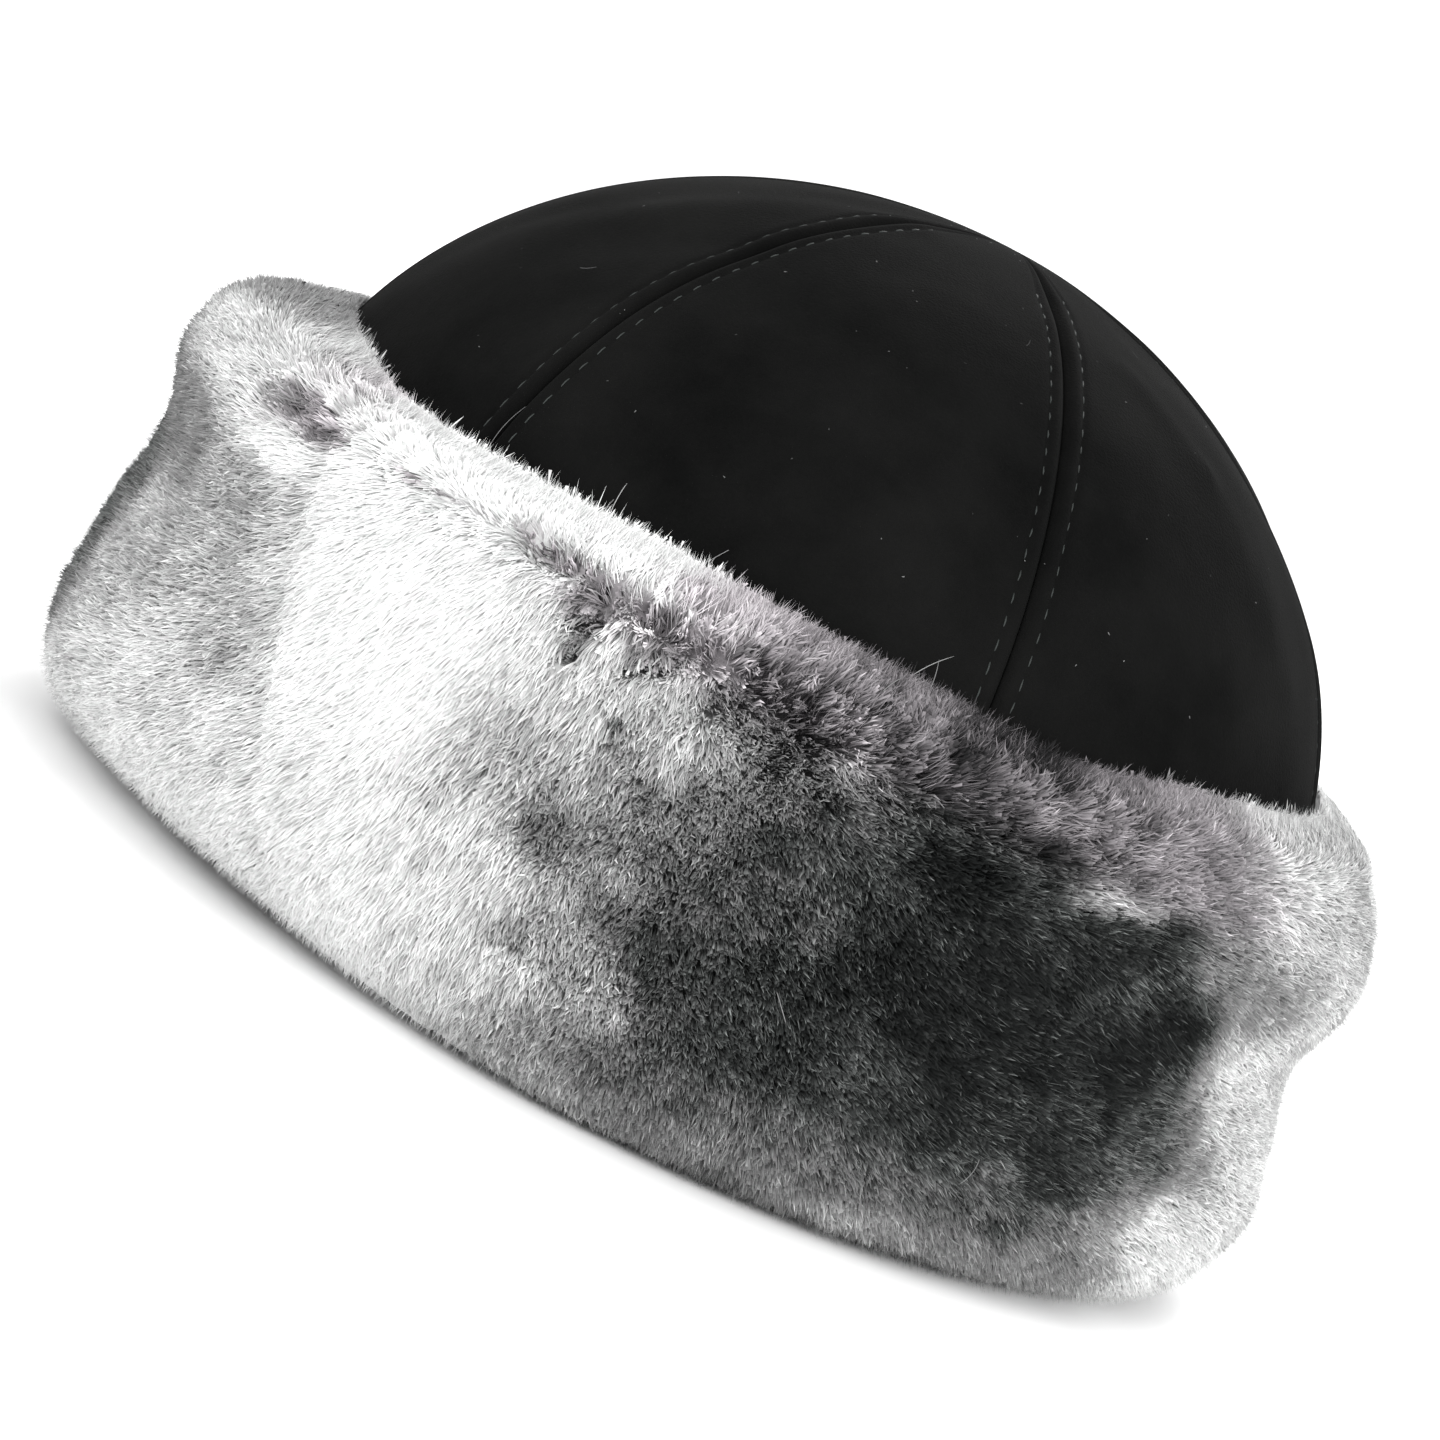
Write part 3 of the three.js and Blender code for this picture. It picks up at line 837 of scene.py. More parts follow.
# The fur's outer form as a grid: columns around, rows from the inner bottom edge up the flank,
# over the crest and on up the crown. Returns azimuths, points, each section's length, and the
# lip's place as a share of it.
def furForm():
    count, rows = cuff["columns"], cuff["rows"]
    azimuths = np.arange(count) / count * 360 - 180
    row = sectionValues(azimuths)
    lobeHeight = cuff["lobeHeight"]
    inner = crownRadiusAt(row["footHeight"]) + cuff["clearance"] + cuff["footInset"]
    outline = [np.stack([inner, row["footHeight"]], axis=-1)]
    for turn in np.linspace(0, math.pi / 2, cuff["footSteps"]):
        radius = row["foot"] + (row["lobe"] - row["foot"]) * math.sin(turn)
        height = lobeHeight - (lobeHeight - row["footHeight"]) * math.cos(turn)
        outline.append(np.stack([radius, height], axis=-1))
    lumpHeight = row["waistHeight"] + (row["crestHeight"] - row["waistHeight"]) * cuff["lumpShare"]
    lip = crownRadiusAt(row["topHeight"]) + cuff["clearance"] + cuff["lipWidth"]
    flank = [
        outline[-1],
        np.stack([(row["lobe"] + row["waist"]) / 2, (lobeHeight + row["waistHeight"]) / 2], axis=-1),
        np.stack([row["waist"], row["waistHeight"]], axis=-1),
        np.stack([row["lump"], lumpHeight], axis=-1),
        np.stack([row["crest"], row["crestHeight"]], axis=-1),
        np.stack([lip, row["topHeight"]], axis=-1),
    ]
    outline += splineThrough(flank, cuff["flankSteps"])[1:]
    lipIndex = len(outline) - 1
    for climb in np.linspace(0, cuff["overLip"], cuff["lipSteps"])[1:]:
        height = row["topHeight"] + climb
        outline.append(np.stack([crownRadiusAt(height) + cuff["lipStandOff"], height], axis=-1))
    outline = np.array(outline)
    steps = np.linalg.norm(np.diff(outline, axis=0), axis=-1)
    run = np.concatenate([np.zeros((1, count)), np.cumsum(steps, axis=0)])
    even = np.linspace(0, 1, rows)
    grid = np.empty((count, rows, 2))
    for column in range(count):
        at = even * run[-1, column]
        for axis in range(2):
            grid[column, :, axis] = np.interp(at, run[:, column], outline[:, column, axis])
    lipRun = run[lipIndex] / run[-1]
    azimuthGrid = np.repeat(azimuths[:, None], rows, axis=1)
    points = pointAt(azimuthGrid, grid[..., 0], grid[..., 1])
    return azimuthGrid, points, run[-1], lipRun


def gridNormals(points):
    around = np.roll(points, -1, axis=0) - np.roll(points, 1, axis=0)
    up = np.gradient(points, axis=1)
    return unit(np.cross(around, up)), unit(around), unit(up)


# The pelts' join at the front leans, as the change of tone does
def joinAzimuth(height):
    return cuff["joins"][1] - cuff["joinLean"] * (height - cuff["joinMiddle"])


# Dye patches, and a few patches of painted shade and painted light, painted in this order over each
# other:
# azimuth, height, half-width in degrees, half-height in millimetres, tone from black 0 to white 1, and
# how soft the patch's edge is
patchColumns = ["azimuth", "height", "halfWidth", "halfHeight", "tone", "softness"]
dyeAndShadePatches = [
    # back and sides
    [180, 50, 50, 80, 0.84, 0.6],
    [152, 38, 24, 26, 0.42, 0.7],
    [148, 50, 10, 12, 0.22, 0.7],
    [-152, 62, 22, 20, 0.44, 0.7],
    [-160, 58, 9, 9, 0.24, 0.7],
    [-176, 20, 18, 12, 0.66, 0.7],
    [-125, 30, 22, 30, 0.72, 0.7],
    [-102, 54, 16, 26, 0.50, 0.6],
    [108, 45, 26, 60, 0.88, 0.6],
    [130, 74, 10, 10, 0.64, 0.7],
    [172, 86, 24, 8, 0.94, 0.6],
    # left pelt
    [-62, 45, 30, 60, 0.77, 0.35],
    [-82, 40, 14, 28, 0.52, 0.6],
    # the left lobe's grey dye, with painted shadow under the upper bulge along the waist groove
    [-76, 62, 12, 14, 0.41, 0.5],
    [-66, 56, 8, 8, 0.57, 0.6],
    [-54, 62, 7, 7, 0.72, 0.6],
    [-42, 56, 4, 9, 0.80, 0.5],
    [-86, 46, 11, 48, 0.27, 0.6],
    [-42, 36, 5, 4, 0.72, 0.6],
    [-38, 30, 3, 4, 0.84, 0.6],
    [-50, 24, 14, 12, 0.87, 0.6],
    [-44, 8, 24, 10, 0.94, 0.6],
    [-63, 79, 18, 9, 0.84, 0.5],
    [-46, 83, 9, 6, 0.90, 0.7],
    [-84, 84, 8, 9, 0.56, 0.8],
    [-70, 84, 9, 5, 0.86, 0.7],
    # painted shade along the crest, darker where the fur turns in towards the crown, over its own
    # grey-purple tips
    [-74, 93, 12, 3.5, 0.50, 0.9],
    [-78, 38, 6, 12, 0.32, 0.7],
    [-70, 60, 8, 10, 0.50, 0.7],
    [-50, 69, 7, 4.5, 0.94, 0.6],
    [-53, 79, 4.5, 2.6, 0.52, 0.6],
    [-47, 76, 2.5, 2, 0.54, 0.6],
]
whiteAndDarkPatches = [
    # from the join to the middle
    [-26, 45, 24, 70, 0.96, 0.25],
    [-10, 45, 10, 70, 0.85, 0.6],
    [-3, 45, 6, 70, 0.69, 0.6],
    [10, 42, 12, 60, 0.40, 0.35],
    [-14, 49, 5, 11, 0.77, 0.7],
    [-29, 24, 14, 13, 0.915, 0.6],
    [-12, 26, 5, 12, 0.89, 0.7],
    [-18, 8, 12, 7, 0.96, 0.7],
    [-15, 28, 7, 12, 0.86, 0.8],
    [-4, 59, 5, 7, 0.69, 0.6],
    [3, 33, 5, 8, 0.29, 0.6],
    [-8, 8, 8, 6, 0.86, 0.7],
    [-6, 17, 7, 10, 0.83, 0.7],
    [-6, 70, 6, 7, 0.86, 0.7],
    [-17, 73, 6, 3, 0.88, 0.7],
    [-17, 86.5, 12, 5, 0.96, 0.7],
    # dark middle
    [27, 46, 22, 60, 0.235, 0.35],
    [5, 69, 6, 7, 0.64, 0.7],
    [6, 56, 4, 5, 0.31, 0.6],
    [12, 61, 6, 6, 0.26, 0.6],
    [20, 65, 6, 4, 0.08, 0.6],
    [27, 57, 9, 6, 0.09, 0.6],
    [34, 63, 7, 5, 0.16, 0.6],
    [30, 44, 16, 11, 0.10, 0.6],
    [10, 48, 5, 5, 0.37, 0.6],
    [36, 29, 9, 6, 0.15, 0.6],
    [46, 46, 8, 14, 0.11, 0.5],
    [16, 30, 6, 5, 0.23, 0.7],
    [20, 13, 22, 8, 0.39, 0.6],
    # painted light: the foot's grey lifted against the shade that the floor casts under it
    [34, 6, 19, 5, 0.68, 0.7],
    [1, 4, 10, 6, 0.64, 0.7],
    [49, 11, 8, 8, 0.53, 0.7],
    # right edge
    [69, 40, 16, 70, 0.82, 0.35],
    [51, 36, 5, 10, 0.28, 0.6],
    [58, 32, 3, 5, 0.56, 0.7],
    [50, 68, 4, 5, 0.46, 0.6],
    [57, 64, 5, 8, 0.60, 0.6],
    [63, 15, 12, 9, 0.88, 0.6],
    # along the top
    [0, 79, 5, 4, 0.70, 0.6],
    [-4, 85.5, 7, 3, 0.75, 0.6],
    [6, 85, 5, 3, 0.56, 0.6],
    [8, 80, 5, 4, 0.58, 0.6],
    [14, 86, 6, 3, 0.42, 0.6],
    [17, 77.5, 5, 3.5, 0.37, 0.6],
    [24, 87, 7, 4, 0.12, 0.6],
    [26, 81, 5, 3, 0.47, 0.6],
    [35, 82, 7, 6, 0.53, 0.6],
    [42, 78, 6, 6, 0.58, 0.6],
    [34, 71.5, 4, 3.2, 0.76, 0.7],
    [48, 88, 6, 5, 0.62, 0.6],
    [62, 84, 11, 8, 0.80, 0.6],
    [72, 88, 9, 9, 0.92, 0.6],
    # white fur brought up to full white at the right edge: painted rim light
    [80, 70, 11, 24, 1.0, 0.6],
    [-17, 56, 4, 4, 0.88, 0.6],
    [-8, 42, 5, 6, 0.62, 0.6],
    [-5, 24, 5, 4.5, 0.69, 0.6],
    [-2, 56.5, 4.5, 5, 0.57, 0.6],
    [-4, 65.5, 3.5, 4, 0.76, 0.6],
    [0, 72.5, 4, 3.5, 0.57, 0.7],
    [8, 67.5, 5, 4, 0.34, 0.6],
    # roots that show along the parting
    [-16.5, 74.6, 1.2, 1.6, 0.72, 0.7],
    [-15.5, 69.2, 0.9, 1.6, 0.56, 0.7],
    [-8.5, 74.1, 1.2, 1.6, 0.62, 0.7],
    [-37.5, 78, 1.6, 0.9, 0.70, 0.8],
    [-33.5, 78.6, 2.2, 0.5, 0.84, 0.8],
    [-29, 79, 1.8, 0.6, 0.84, 0.8],
    [-24.5, 80, 1.5, 1.0, 0.76, 0.8],
    [-21.5, 80, 2.2, 1.6, 0.54, 0.8],
    [-19, 80, 1.2, 1.2, 0.56, 0.8],
    [-16, 79.3, 1.2, 1.2, 0.46, 0.7],
    [-14.5, 75, 0.9, 1.4, 0.58, 0.7],
    [-15, 71.5, 0.8, 1.5, 0.48, 0.7],
    [-11.5, 79, 1.2, 1.2, 0.55, 0.7],
    [-10, 79.6, 1.0, 1.4, 0.28, 0.7],
    [-10.5, 72.5, 0.8, 1.2, 0.50, 0.7],
    [-5, 79.4, 1.6, 1.2, 0.58, 0.8],
    [-1.5, 81, 1.8, 1.4, 0.42, 0.8],
    [2, 79.8, 2.0, 1.3, 0.56, 0.8],
    [6, 81.7, 2.2, 1.5, 0.37, 0.8],
    [10.5, 82.3, 2.2, 1.6, 0.38, 0.8],
    [-9, 61.5, 0.9, 1.1, 0.28, 0.6],
]
dyeAndShading = {
    "ground": 0.72,
    "ragged": [(3.5, 7, 14), (1.6, 2, 4)],      # how far patch edges wander, in millimetres
    "raggedFrom": 3.5,        # millimetres, smaller patches keep more of their shape
    "mottle": [(0.27, 4.5, 9), (0.32, 1.6, 3.2)],  # unevenness, strongest in the greys
    "joinRagged": [(2.0, 4, 7)],                # degrees by which the front join's dye wanders
    "joinFade": (-3.2, 2.6),  # degrees past the front join where the right side's dye comes in,
    "backFade": (100, 120),   # and where it goes out again
    "millimetresPerDegree": 2.08,
}


def paintPatches(tone, azimuth, height, patches):
    scale = dyeAndShading["millimetresPerDegree"]
    moveAcross = layeredNoise(azimuth, height, dyeAndShading["ragged"], 41)
    moveUp = layeredNoise(azimuth, height, dyeAndShading["ragged"], 43)
    for row in patches:
        patch = dict(zip(patchColumns, row))
        ragged = min(1, patch["halfHeight"] / dyeAndShading["raggedFrom"])
        across = turnBetween(patch["azimuth"], azimuth) * scale + ragged * moveAcross
        across = across / (patch["halfWidth"] * scale)
        up = (height - patch["height"] + ragged * moveUp) / patch["halfHeight"]
        reach = np.sqrt(across ** 2 + up ** 2)
        cover = 1 - smoothStep(1 - patch["softness"], 1 + patch["softness"], reach)
        tone = tone + (patch["tone"] - tone) * cover
    return tone


def furTone(azimuth, height):
    ground = np.full(np.shape(azimuth), dyeAndShading["ground"])
    left = paintPatches(ground, azimuth, height, dyeAndShadePatches)
    right = paintPatches(left, azimuth, height, whiteAndDarkPatches)
    edge = turnBetween(joinAzimuth(height), azimuth)
    edge = edge + layeredNoise(azimuth, height, dyeAndShading["joinRagged"], 45)
    front = smoothStep(*dyeAndShading["joinFade"], edge) * (1 - smoothStep(*dyeAndShading["backFade"], edge))
    tone = left + (right - left) * front
    mottle = layeredNoise(azimuth, height, dyeAndShading["mottle"], 46)
    return np.clip(tone + mottle * tone * (1 - tone), 0, 1)


tinting = {
    "bandFrom": (68, 78),     # heights over which the purple brown comes in,
    "bandTo": (90, 95),       # and goes out
    "spanFrom": (-62, -48),   # azimuths, likewise
    "spanTo": (40, 62),
    "notInWhite": (0.75, 0.95),  # tones over which it goes out
    "greenBelow": (0.2, 0.45),   # tones under which the green shows
    "green": 0.8,
}


# Purple brown in the parting and along the top, green in the black patches
def furTint(azimuth, height, tone):
    band = smoothStep(*tinting["bandFrom"], height) * (1 - smoothStep(*tinting["bandTo"], height))
    span = smoothStep(*tinting["spanFrom"], azimuth) * (1 - smoothStep(*tinting["spanTo"], azimuth))
    warm = band * span * (1 - smoothStep(*tinting["notInWhite"], tone))
    cold = (1 - band) * (1 - smoothStep(*tinting["greenBelow"], tone))
    return warm - tinting["green"] * cold


# The form that the tips reach: the smooth form with soft unevenness, sunk at the pelts' joins
# and along the parting between the hair that lies down and the hair that lies up

formShape = {
    "swell": [(0.8, 11, 22), (0.5, 4, 8)],
    "footCalm": (2, 14),      # no swell at this height, all of it at the next
    "lipCalm": (0, 9),        # and likewise by the distance from the lip
    "joinSink": 0.9,
    "joinWidth": 2.4,
    "partingSink": 0.8,
    "partingWidth": 3.5,
    "floorClearance": 0.15,
}


def shapeForm():
    azimuth, points, run, lipRun = furForm()
    normal = gridNormals(points)[0]
    height = points[..., 2]
    swell = layeredNoise(azimuth, height, formShape["swell"], 11)
    scale = dyeAndShading["millimetresPerDegree"]
    for join in (cuff["joins"][0], joinAzimuth(height), cuff["joins"][2]):
        distance = turnBetween(join, azimuth) * scale / formShape["joinWidth"]
        swell = swell - formShape["joinSink"] * np.exp(-distance ** 2)
    parting = (height - partingHeight(azimuth)) / formShape["partingWidth"]
    swell = swell - formShape["partingSink"] * np.exp(-parting ** 2)
    position = np.arange(cuff["rows"])[None, :] / (cuff["rows"] - 1)
    toLip = (lipRun[:, None] - position) * run[:, None]
    swell = swell * smoothStep(*formShape["footCalm"], height) * smoothStep(*formShape["lipCalm"], toLip)
    shaped = points + normal * swell[..., None]
    shaped[..., 2] = np.maximum(shaped[..., 2], formShape["floorClearance"])
    return azimuth, shaped, run, lipRun


def partingHeight(azimuth):
    azimuth = np.asarray(azimuth, dtype=float)
    crest = sectionValues(azimuth.ravel())["crestHeight"].reshape(azimuth.shape)
    wander = layeredNoise(azimuth, 0, furComb["partingWander"], 23)
    return crest + furComb["partingAboveCrest"] + wander


# Reads a grid between its points; columns run on round the hat
def readGrid(grid, column, row):
    column = column % cuff["columns"]
    row = np.clip(row, 0, cuff["rows"] - 1.001)
    left, low = np.floor(column).astype(int), np.floor(row).astype(int)
    right = (left + 1) % cuff["columns"]
    left = left % cuff["columns"]
    fx, fy = column - np.floor(column), row - low
    if grid.ndim == 3:
        fx, fy = fx[:, None], fy[:, None]
    lower = grid[left, low] * (1 - fx) + grid[right, low] * fx
    upper = grid[left, low + 1] * (1 - fx) + grid[right, low + 1] * fx
    return lower * (1 - fy) + upper * fy


# How the hair lies. Across is towards +azimuth, up is up the flank.

furComb = {
    "partingAboveCrest": -2.3,
    "partingWander": [(1.3, 6, 300), (1.0, 2, 300)],
    "partingBlend": 4.0,      # half-height over which the hair turns from down to up
    "upright": 0.6,           # how much less the hair above the parting lies sideways,
    "uprightOver": (0, 1.5),  # blend heights above it over which that comes in
    "fanCenter": -12.0,       # azimuth where the hair lies straight down
    "fanSpread": 1.35,
    "fanLimit": 0.94,
    "wander": [(22.0, 6, 12)],  # degrees by which the lie wanders from place to place,
    "clumpWander": 30.0,      # from clump to clump
    "hairWander": 20.0,       # and from hair to hair
}


def combDirection(azimuth, height, above, calm, random, clumpTurn):
    across = furComb["fanSpread"] * np.sin(np.radians(azimuth - furComb["fanCenter"]))
    across = np.clip(across, -furComb["fanLimit"], furComb["fanLimit"])
    across = across * (1 - furComb["upright"] * smoothStep(*furComb["uprightOver"], above))
    upward = np.clip(above, -1, 1) * np.sqrt(1 - across ** 2)
    turn = layeredNoise(azimuth, height, furComb["wander"], 21)
    turn = turn + furComb["clumpWander"] * clumpTurn
    turn = turn + furComb["hairWander"] * random.standard_normal(len(azimuth))
    cosine, sine = np.cos(np.radians(turn * calm)), np.sin(np.radians(turn * calm))
    return across * cosine - upward * sine, across * sine + upward * cosine


clumpHash = {"first": 73856093, "second": 19349663, "seed": 83492791, "size": 65536}


# Repeatable numbers from -1 to 1 for each clump, from its whole-number place
def clumpNumbers(first, second, seed, count):
    mixed = first.astype(np.int64) * clumpHash["first"]
    mixed = mixed ^ (second.astype(np.int64) * clumpHash["second"])
    mixed = (mixed ^ (seed * clumpHash["seed"])) % clumpHash["size"]
    table = np.random.default_rng(seed).uniform(-1, 1, (clumpHash["size"], count))
    return table[mixed].T


form = {}
form["azimuth"], form["points"], form["run"], form["lipRun"] = shapeForm()
form["normal"], form["around"], form["up"] = gridNormals(form["points"])
print("cuff form is laid out")


# Pelt skins: the closed bodies that the hair grows from

def skinDepth(position, run, lipRun):
    fromFoot = position * run
    toLip = (lipRun - position) * run
    foot, lip = cuff["skinDepthFoot"], cuff["skinDepthLip"]
    depth = foot + (cuff["skinDepth"] - foot) * smoothStep(*cuff["skinFullFrom"], fromFoot)
    return lip + (depth - lip) * smoothStep(*cuff["skinLipTo"], toLip)


# A section's own value, such as its length, at any azimuth
def readSections(values, azimuths):
    count = cuff["columns"]
    return np.interp(azimuths % 360, np.arange(count) / count * 360, np.roll(values, -count // 2))


def addSkins():
    count = len(cuff["joins"])
    for i, start in enumerate(cuff["joins"]):
        width = (cuff["joins"][(i + 1) % count] - start) % 360
        gap = cuff["peltGap"]
        azimuths = start + gap / 2 + np.linspace(0, 1, cuff["skinColumns"]) * (width - gap)
        columns = (azimuths + 180) / 360 * cuff["columns"]
        columns = np.repeat(columns[:, None], cuff["skinRows"], axis=1)
        run = readSections(form["run"], azimuths)[:, None]
        lipRun = readSections(form["lipRun"], azimuths)[:, None]
        position = np.linspace(0, 1, cuff["skinRows"])[None, :] * lipRun
        rows = position * (cuff["rows"] - 1)
        flat = columns.ravel(), rows.ravel()
        outer = readGrid(form["points"], *flat)
        normal = unit(readGrid(form["normal"], *flat))
        rootTone = furTone(np.repeat(azimuths, cuff["skinRows"]), outer[:, 2])
        smooth = smoothStep(furLook["whiteFrom"], furLook["whiteTo"], rootTone)
        depth = skinDepth(position, run, lipRun).ravel() * (1 - furLook["whiteSkin"] * smooth)
        outer = outer - normal * depth[:, None]
        outer[:, 2] = np.maximum(outer[:, 2], cuff["skinFloor"])
        outer = outer.reshape(cuff["skinColumns"], cuff["skinRows"], 3).transpose(1, 0, 2)
        heights = outer[..., 2]
        inner = pointAt(azimuths[None, :], crownRadiusAt(heights) + cuff["clearance"], heights)
        faces = solidFaces(*outer.shape[:2])
        points = np.concatenate([outer.reshape(-1, 3), inner.reshape(-1, 3)])
        azimuth = np.degrees(np.arctan2(points[:, 0], -points[:, 1]))
        tone = furTone(azimuth, points[:, 2])
        white = smoothStep(*cuff["skinShadeOver"], tone)
        shade = tone * (cuff["skinShade"] + cuff["skinShadeMore"] * white)
        attributes = {"shade": shade, "tint": furTint(azimuth, points[:, 2], tone)}
        piece = newPiece(f"pelt_skin_{i + 1}", points, faces, peltMaterial, attributes)
        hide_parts(f"cuff_pelt_{i + 1}")


# Fur. A hair of the under coat is a wedge that widens to a blunt tip, one of the over coat is
# a narrow leaf, from root to middle to tip, and a guard hair is a long spike.

furCoats = {
    "under": {"hairs": 112000, "form": "wedge", "lean": 1.2, "farther": 1.0, "width": 0.46,
              "short": 1.0, "stand": -0.8, "beyondLip": 0.6, "clump": 3.0, "pull": 0.3,
              "fleck": 0.0, "seed": 101},
    "over": {"hairs": 56000, "form": "leaf", "lean": 1.45, "farther": 1.0, "width": 0.36,
             "short": 0.7, "stand": 0.0, "beyondLip": 0.9, "clump": 2.0, "pull": 0.45,
             "fleck": 0.2, "seed": 202},
    "guard": {"hairs": 28000, "form": "spike", "lean": 1.7, "farther": 0.7, "width": 0.17,
              "short": 0.6, "stand": 1.5, "beyondLip": 1.2, "clump": 2.6, "pull": 0.6,
              "fleck": 0.4, "seed": 303},
    "fringe": {"hairs": 12000, "form": "spike", "lean": 3.2, "farther": 0.2, "width": 0.12,
               "short": 0.5, "stand": 0.7, "beyondLip": 1.5, "clump": 1.6, "pull": 0.35,
               "fleck": 0.2, "seed": 404},
}
furLook = {
    "rootShade": 0.62,        # a root's tone, as a share of the fur's tone there
    "middleShare": 0.62,
    "bow": 0.7,               # how far the middle stands off the straight line
    "curl": 0.4,              # and to either side of it
    "clumpTone": 0.06,
    "hairTone": 0.06,
    "tipLift": 0.05,
    "middleDrop": 0.05,
    "fleckLift": 0.36,
    "clumpHeight": 0.45,
    "roundness": 0.72,        # share of the form's normal in a hair's shading normal
    "normalWander": 0.1,
    "hiddenFoot": 0.35,       # density on the flat underside, as a share,
    "hiddenBelow": 3.0,       # which is what lies under this height,
    "hiddenWithin": 106.0,    # inside this radius
    "fringeBand": 5.0,        # the fringe grows this near to the cuff's top edge
    "whiteFrom": 0.50,        # the fur turns smooth from this tone to the next
    "whiteTo": 0.93,
    "whiteLean": 2.4,         # how much further the smooth white fur lies over,
    "whiteEven": 0.85,        # how much more even its tips are,
    "whiteCalm": 0.6,         # how much less its lie wanders and its hairs roll
    "whiteSkin": 0.85,        # and how much nearer its skin is
    "crestLean": 1.9,         # how much further the fur above the parting lies
    "partingBand": 1.25,      # half-width of the wisps' band, in the comb's blend heights
    "partingClump": 4.2,      # a wisp's size
    "partingLean": 1.3,       # how much further the wisps lie over,
    "partingPull": 1.8,       # how much more tightly they gather,
    "partingTone": 2.4,       # how much more their tones differ
    "partingEnds": [-66, -50, 26, 48],  # azimuths where the wisps begin, are full and end
    "partingDark": 0.4,       # how far up the hair the root's own dye reaches,
    "partingRoots": 0.15,     # and how much darker their roots are
    "partingNotIn": (0.93, 0.99),  # tones over which the wisps go out
}
furGrowth = {
    "hairsOver": 120,         # degrees round the hat that a coat's number of hairs is for
    "wispFrom": 0.45,         # share of the parting from which hairs gather in wisps
    "columnSize": 1.03,       # millimetres, about a column's and a row's size on the form
    "rowSize": 0.62,
    "clumpWobble": 0.6,       # how crooked the clumps' borders are, as a share of their size
    "wobbleCell": (1.6, 3.4),
    "centerWander": 0.3,
    "leastReach": 0.45,       # share of the lean that the shortest fur keeps
    "reachSpread": (0.75, 1.15),
    "pullSpread": (0.5, 1.2),
    "mostPull": 0.92,
    "lipSetBack": 1.2,        # taken off how far each tip may pass the lip
    "tipWander": 0.25,
    "leastLength": 0.6,
    "bentFrom": 3.0,          # fur of this depth bows and curls in full
    "roll": 38,               # degrees
    "widthSpread": (0.75, 1.25),
    "varyLeast": 0.5,         # how much tones differ in black and white,
    "varyGrey": 3,            # and how much more in the greys
    "fleckPatches": [(0.9, 3, 6)],
    "fleckLeast": 0.2,
    "fleckTones": (0.08, 0.3),
    "fleckMiddle": 0.4,
    "rootWhite": (0.6, 1),    # tones over which the root's shade comes up to the fur's
    "leastShade": 0.01,
    "tintWander": 0.15,
}


def scatterRoots(start, width, count, fringe, random):
    azimuth, points = form["azimuth"], form["points"]
    around = np.linalg.norm(np.roll(points, -1, axis=0) - points, axis=-1)
    upward = np.linalg.norm(np.gradient(points, axis=1), axis=-1)
    area = around * upward
    position = np.arange(cuff["rows"])[None, :] / (cuff["rows"] - 1)
    area = area * (position < form["lipRun"][:, None])
    radius = np.hypot(points[..., 0], points[..., 1])
    hidden = (points[..., 2] < furLook["hiddenBelow"]) & (radius < furLook["hiddenWithin"])
    area = area * np.where(hidden, furLook["hiddenFoot"], 1.0)
    area = area * (((azimuth - start) % 360) < width)
    if fringe:
        toLip = (form["lipRun"][:, None] - position) * form["run"][:, None]
        area = area * (toLip < furLook["fringeBand"])
    total = np.cumsum(area.ravel())
    places = (np.arange(count) + random.uniform(0, 1, count)) / count * total[-1]
    chosen = np.minimum(np.searchsorted(total, places), area.size - 1)
    column = chosen // cuff["rows"] + random.uniform(0, 1, count)
    row = chosen % cuff["rows"] + random.uniform(0, 1, count)
    return column, np.minimum(row, cuff["rows"] - 1.01)


# What a hair's place on the form says about it
def readPlaces(column, row):
    azimuth = column / cuff["columns"] * 360 - 180
    base = readGrid(form["points"], column, row)
    height = base[:, 2]
    whole = np.floor(column).astype(int) % cuff["columns"]
    run, lipRun = form["run"][whole], form["lipRun"][whole]
    fullDepth = skinDepth(row / (cuff["rows"] - 1), run, lipRun)
    rootTone = furTone(azimuth, height)
    smooth = smoothStep(furLook["whiteFrom"], furLook["whiteTo"], rootTone)
    above = (height - partingHeight(azimuth)) / furComb["partingBlend"]
    begin, full, fade, end = furLook["partingEnds"]
    parted = np.exp(-(above / furLook["partingBand"]) ** 2)
    parted = parted * (1 - smoothStep(*furLook["partingNotIn"], rootTone))
    parted = parted * smoothStep(begin, full, azimuth) * (1 - smoothStep(fade, end, azimuth))
    return {
        "azimuth": azimuth, "height": height, "base": base, "lipRun": lipRun,
        "normal": unit(readGrid(form["normal"], column, row)),
        "columnWidth": np.hypot(base[:, 0], base[:, 1]) * 2 * math.pi / cuff["columns"],
        "rowHeight": run / (cuff["rows"] - 1),
        "fullDepth": fullDepth, "depth": fullDepth * (1 - furLook["whiteSkin"] * smooth),
        "rootTone": rootTone, "smooth": smooth, "above": above, "parted": parted,
    }


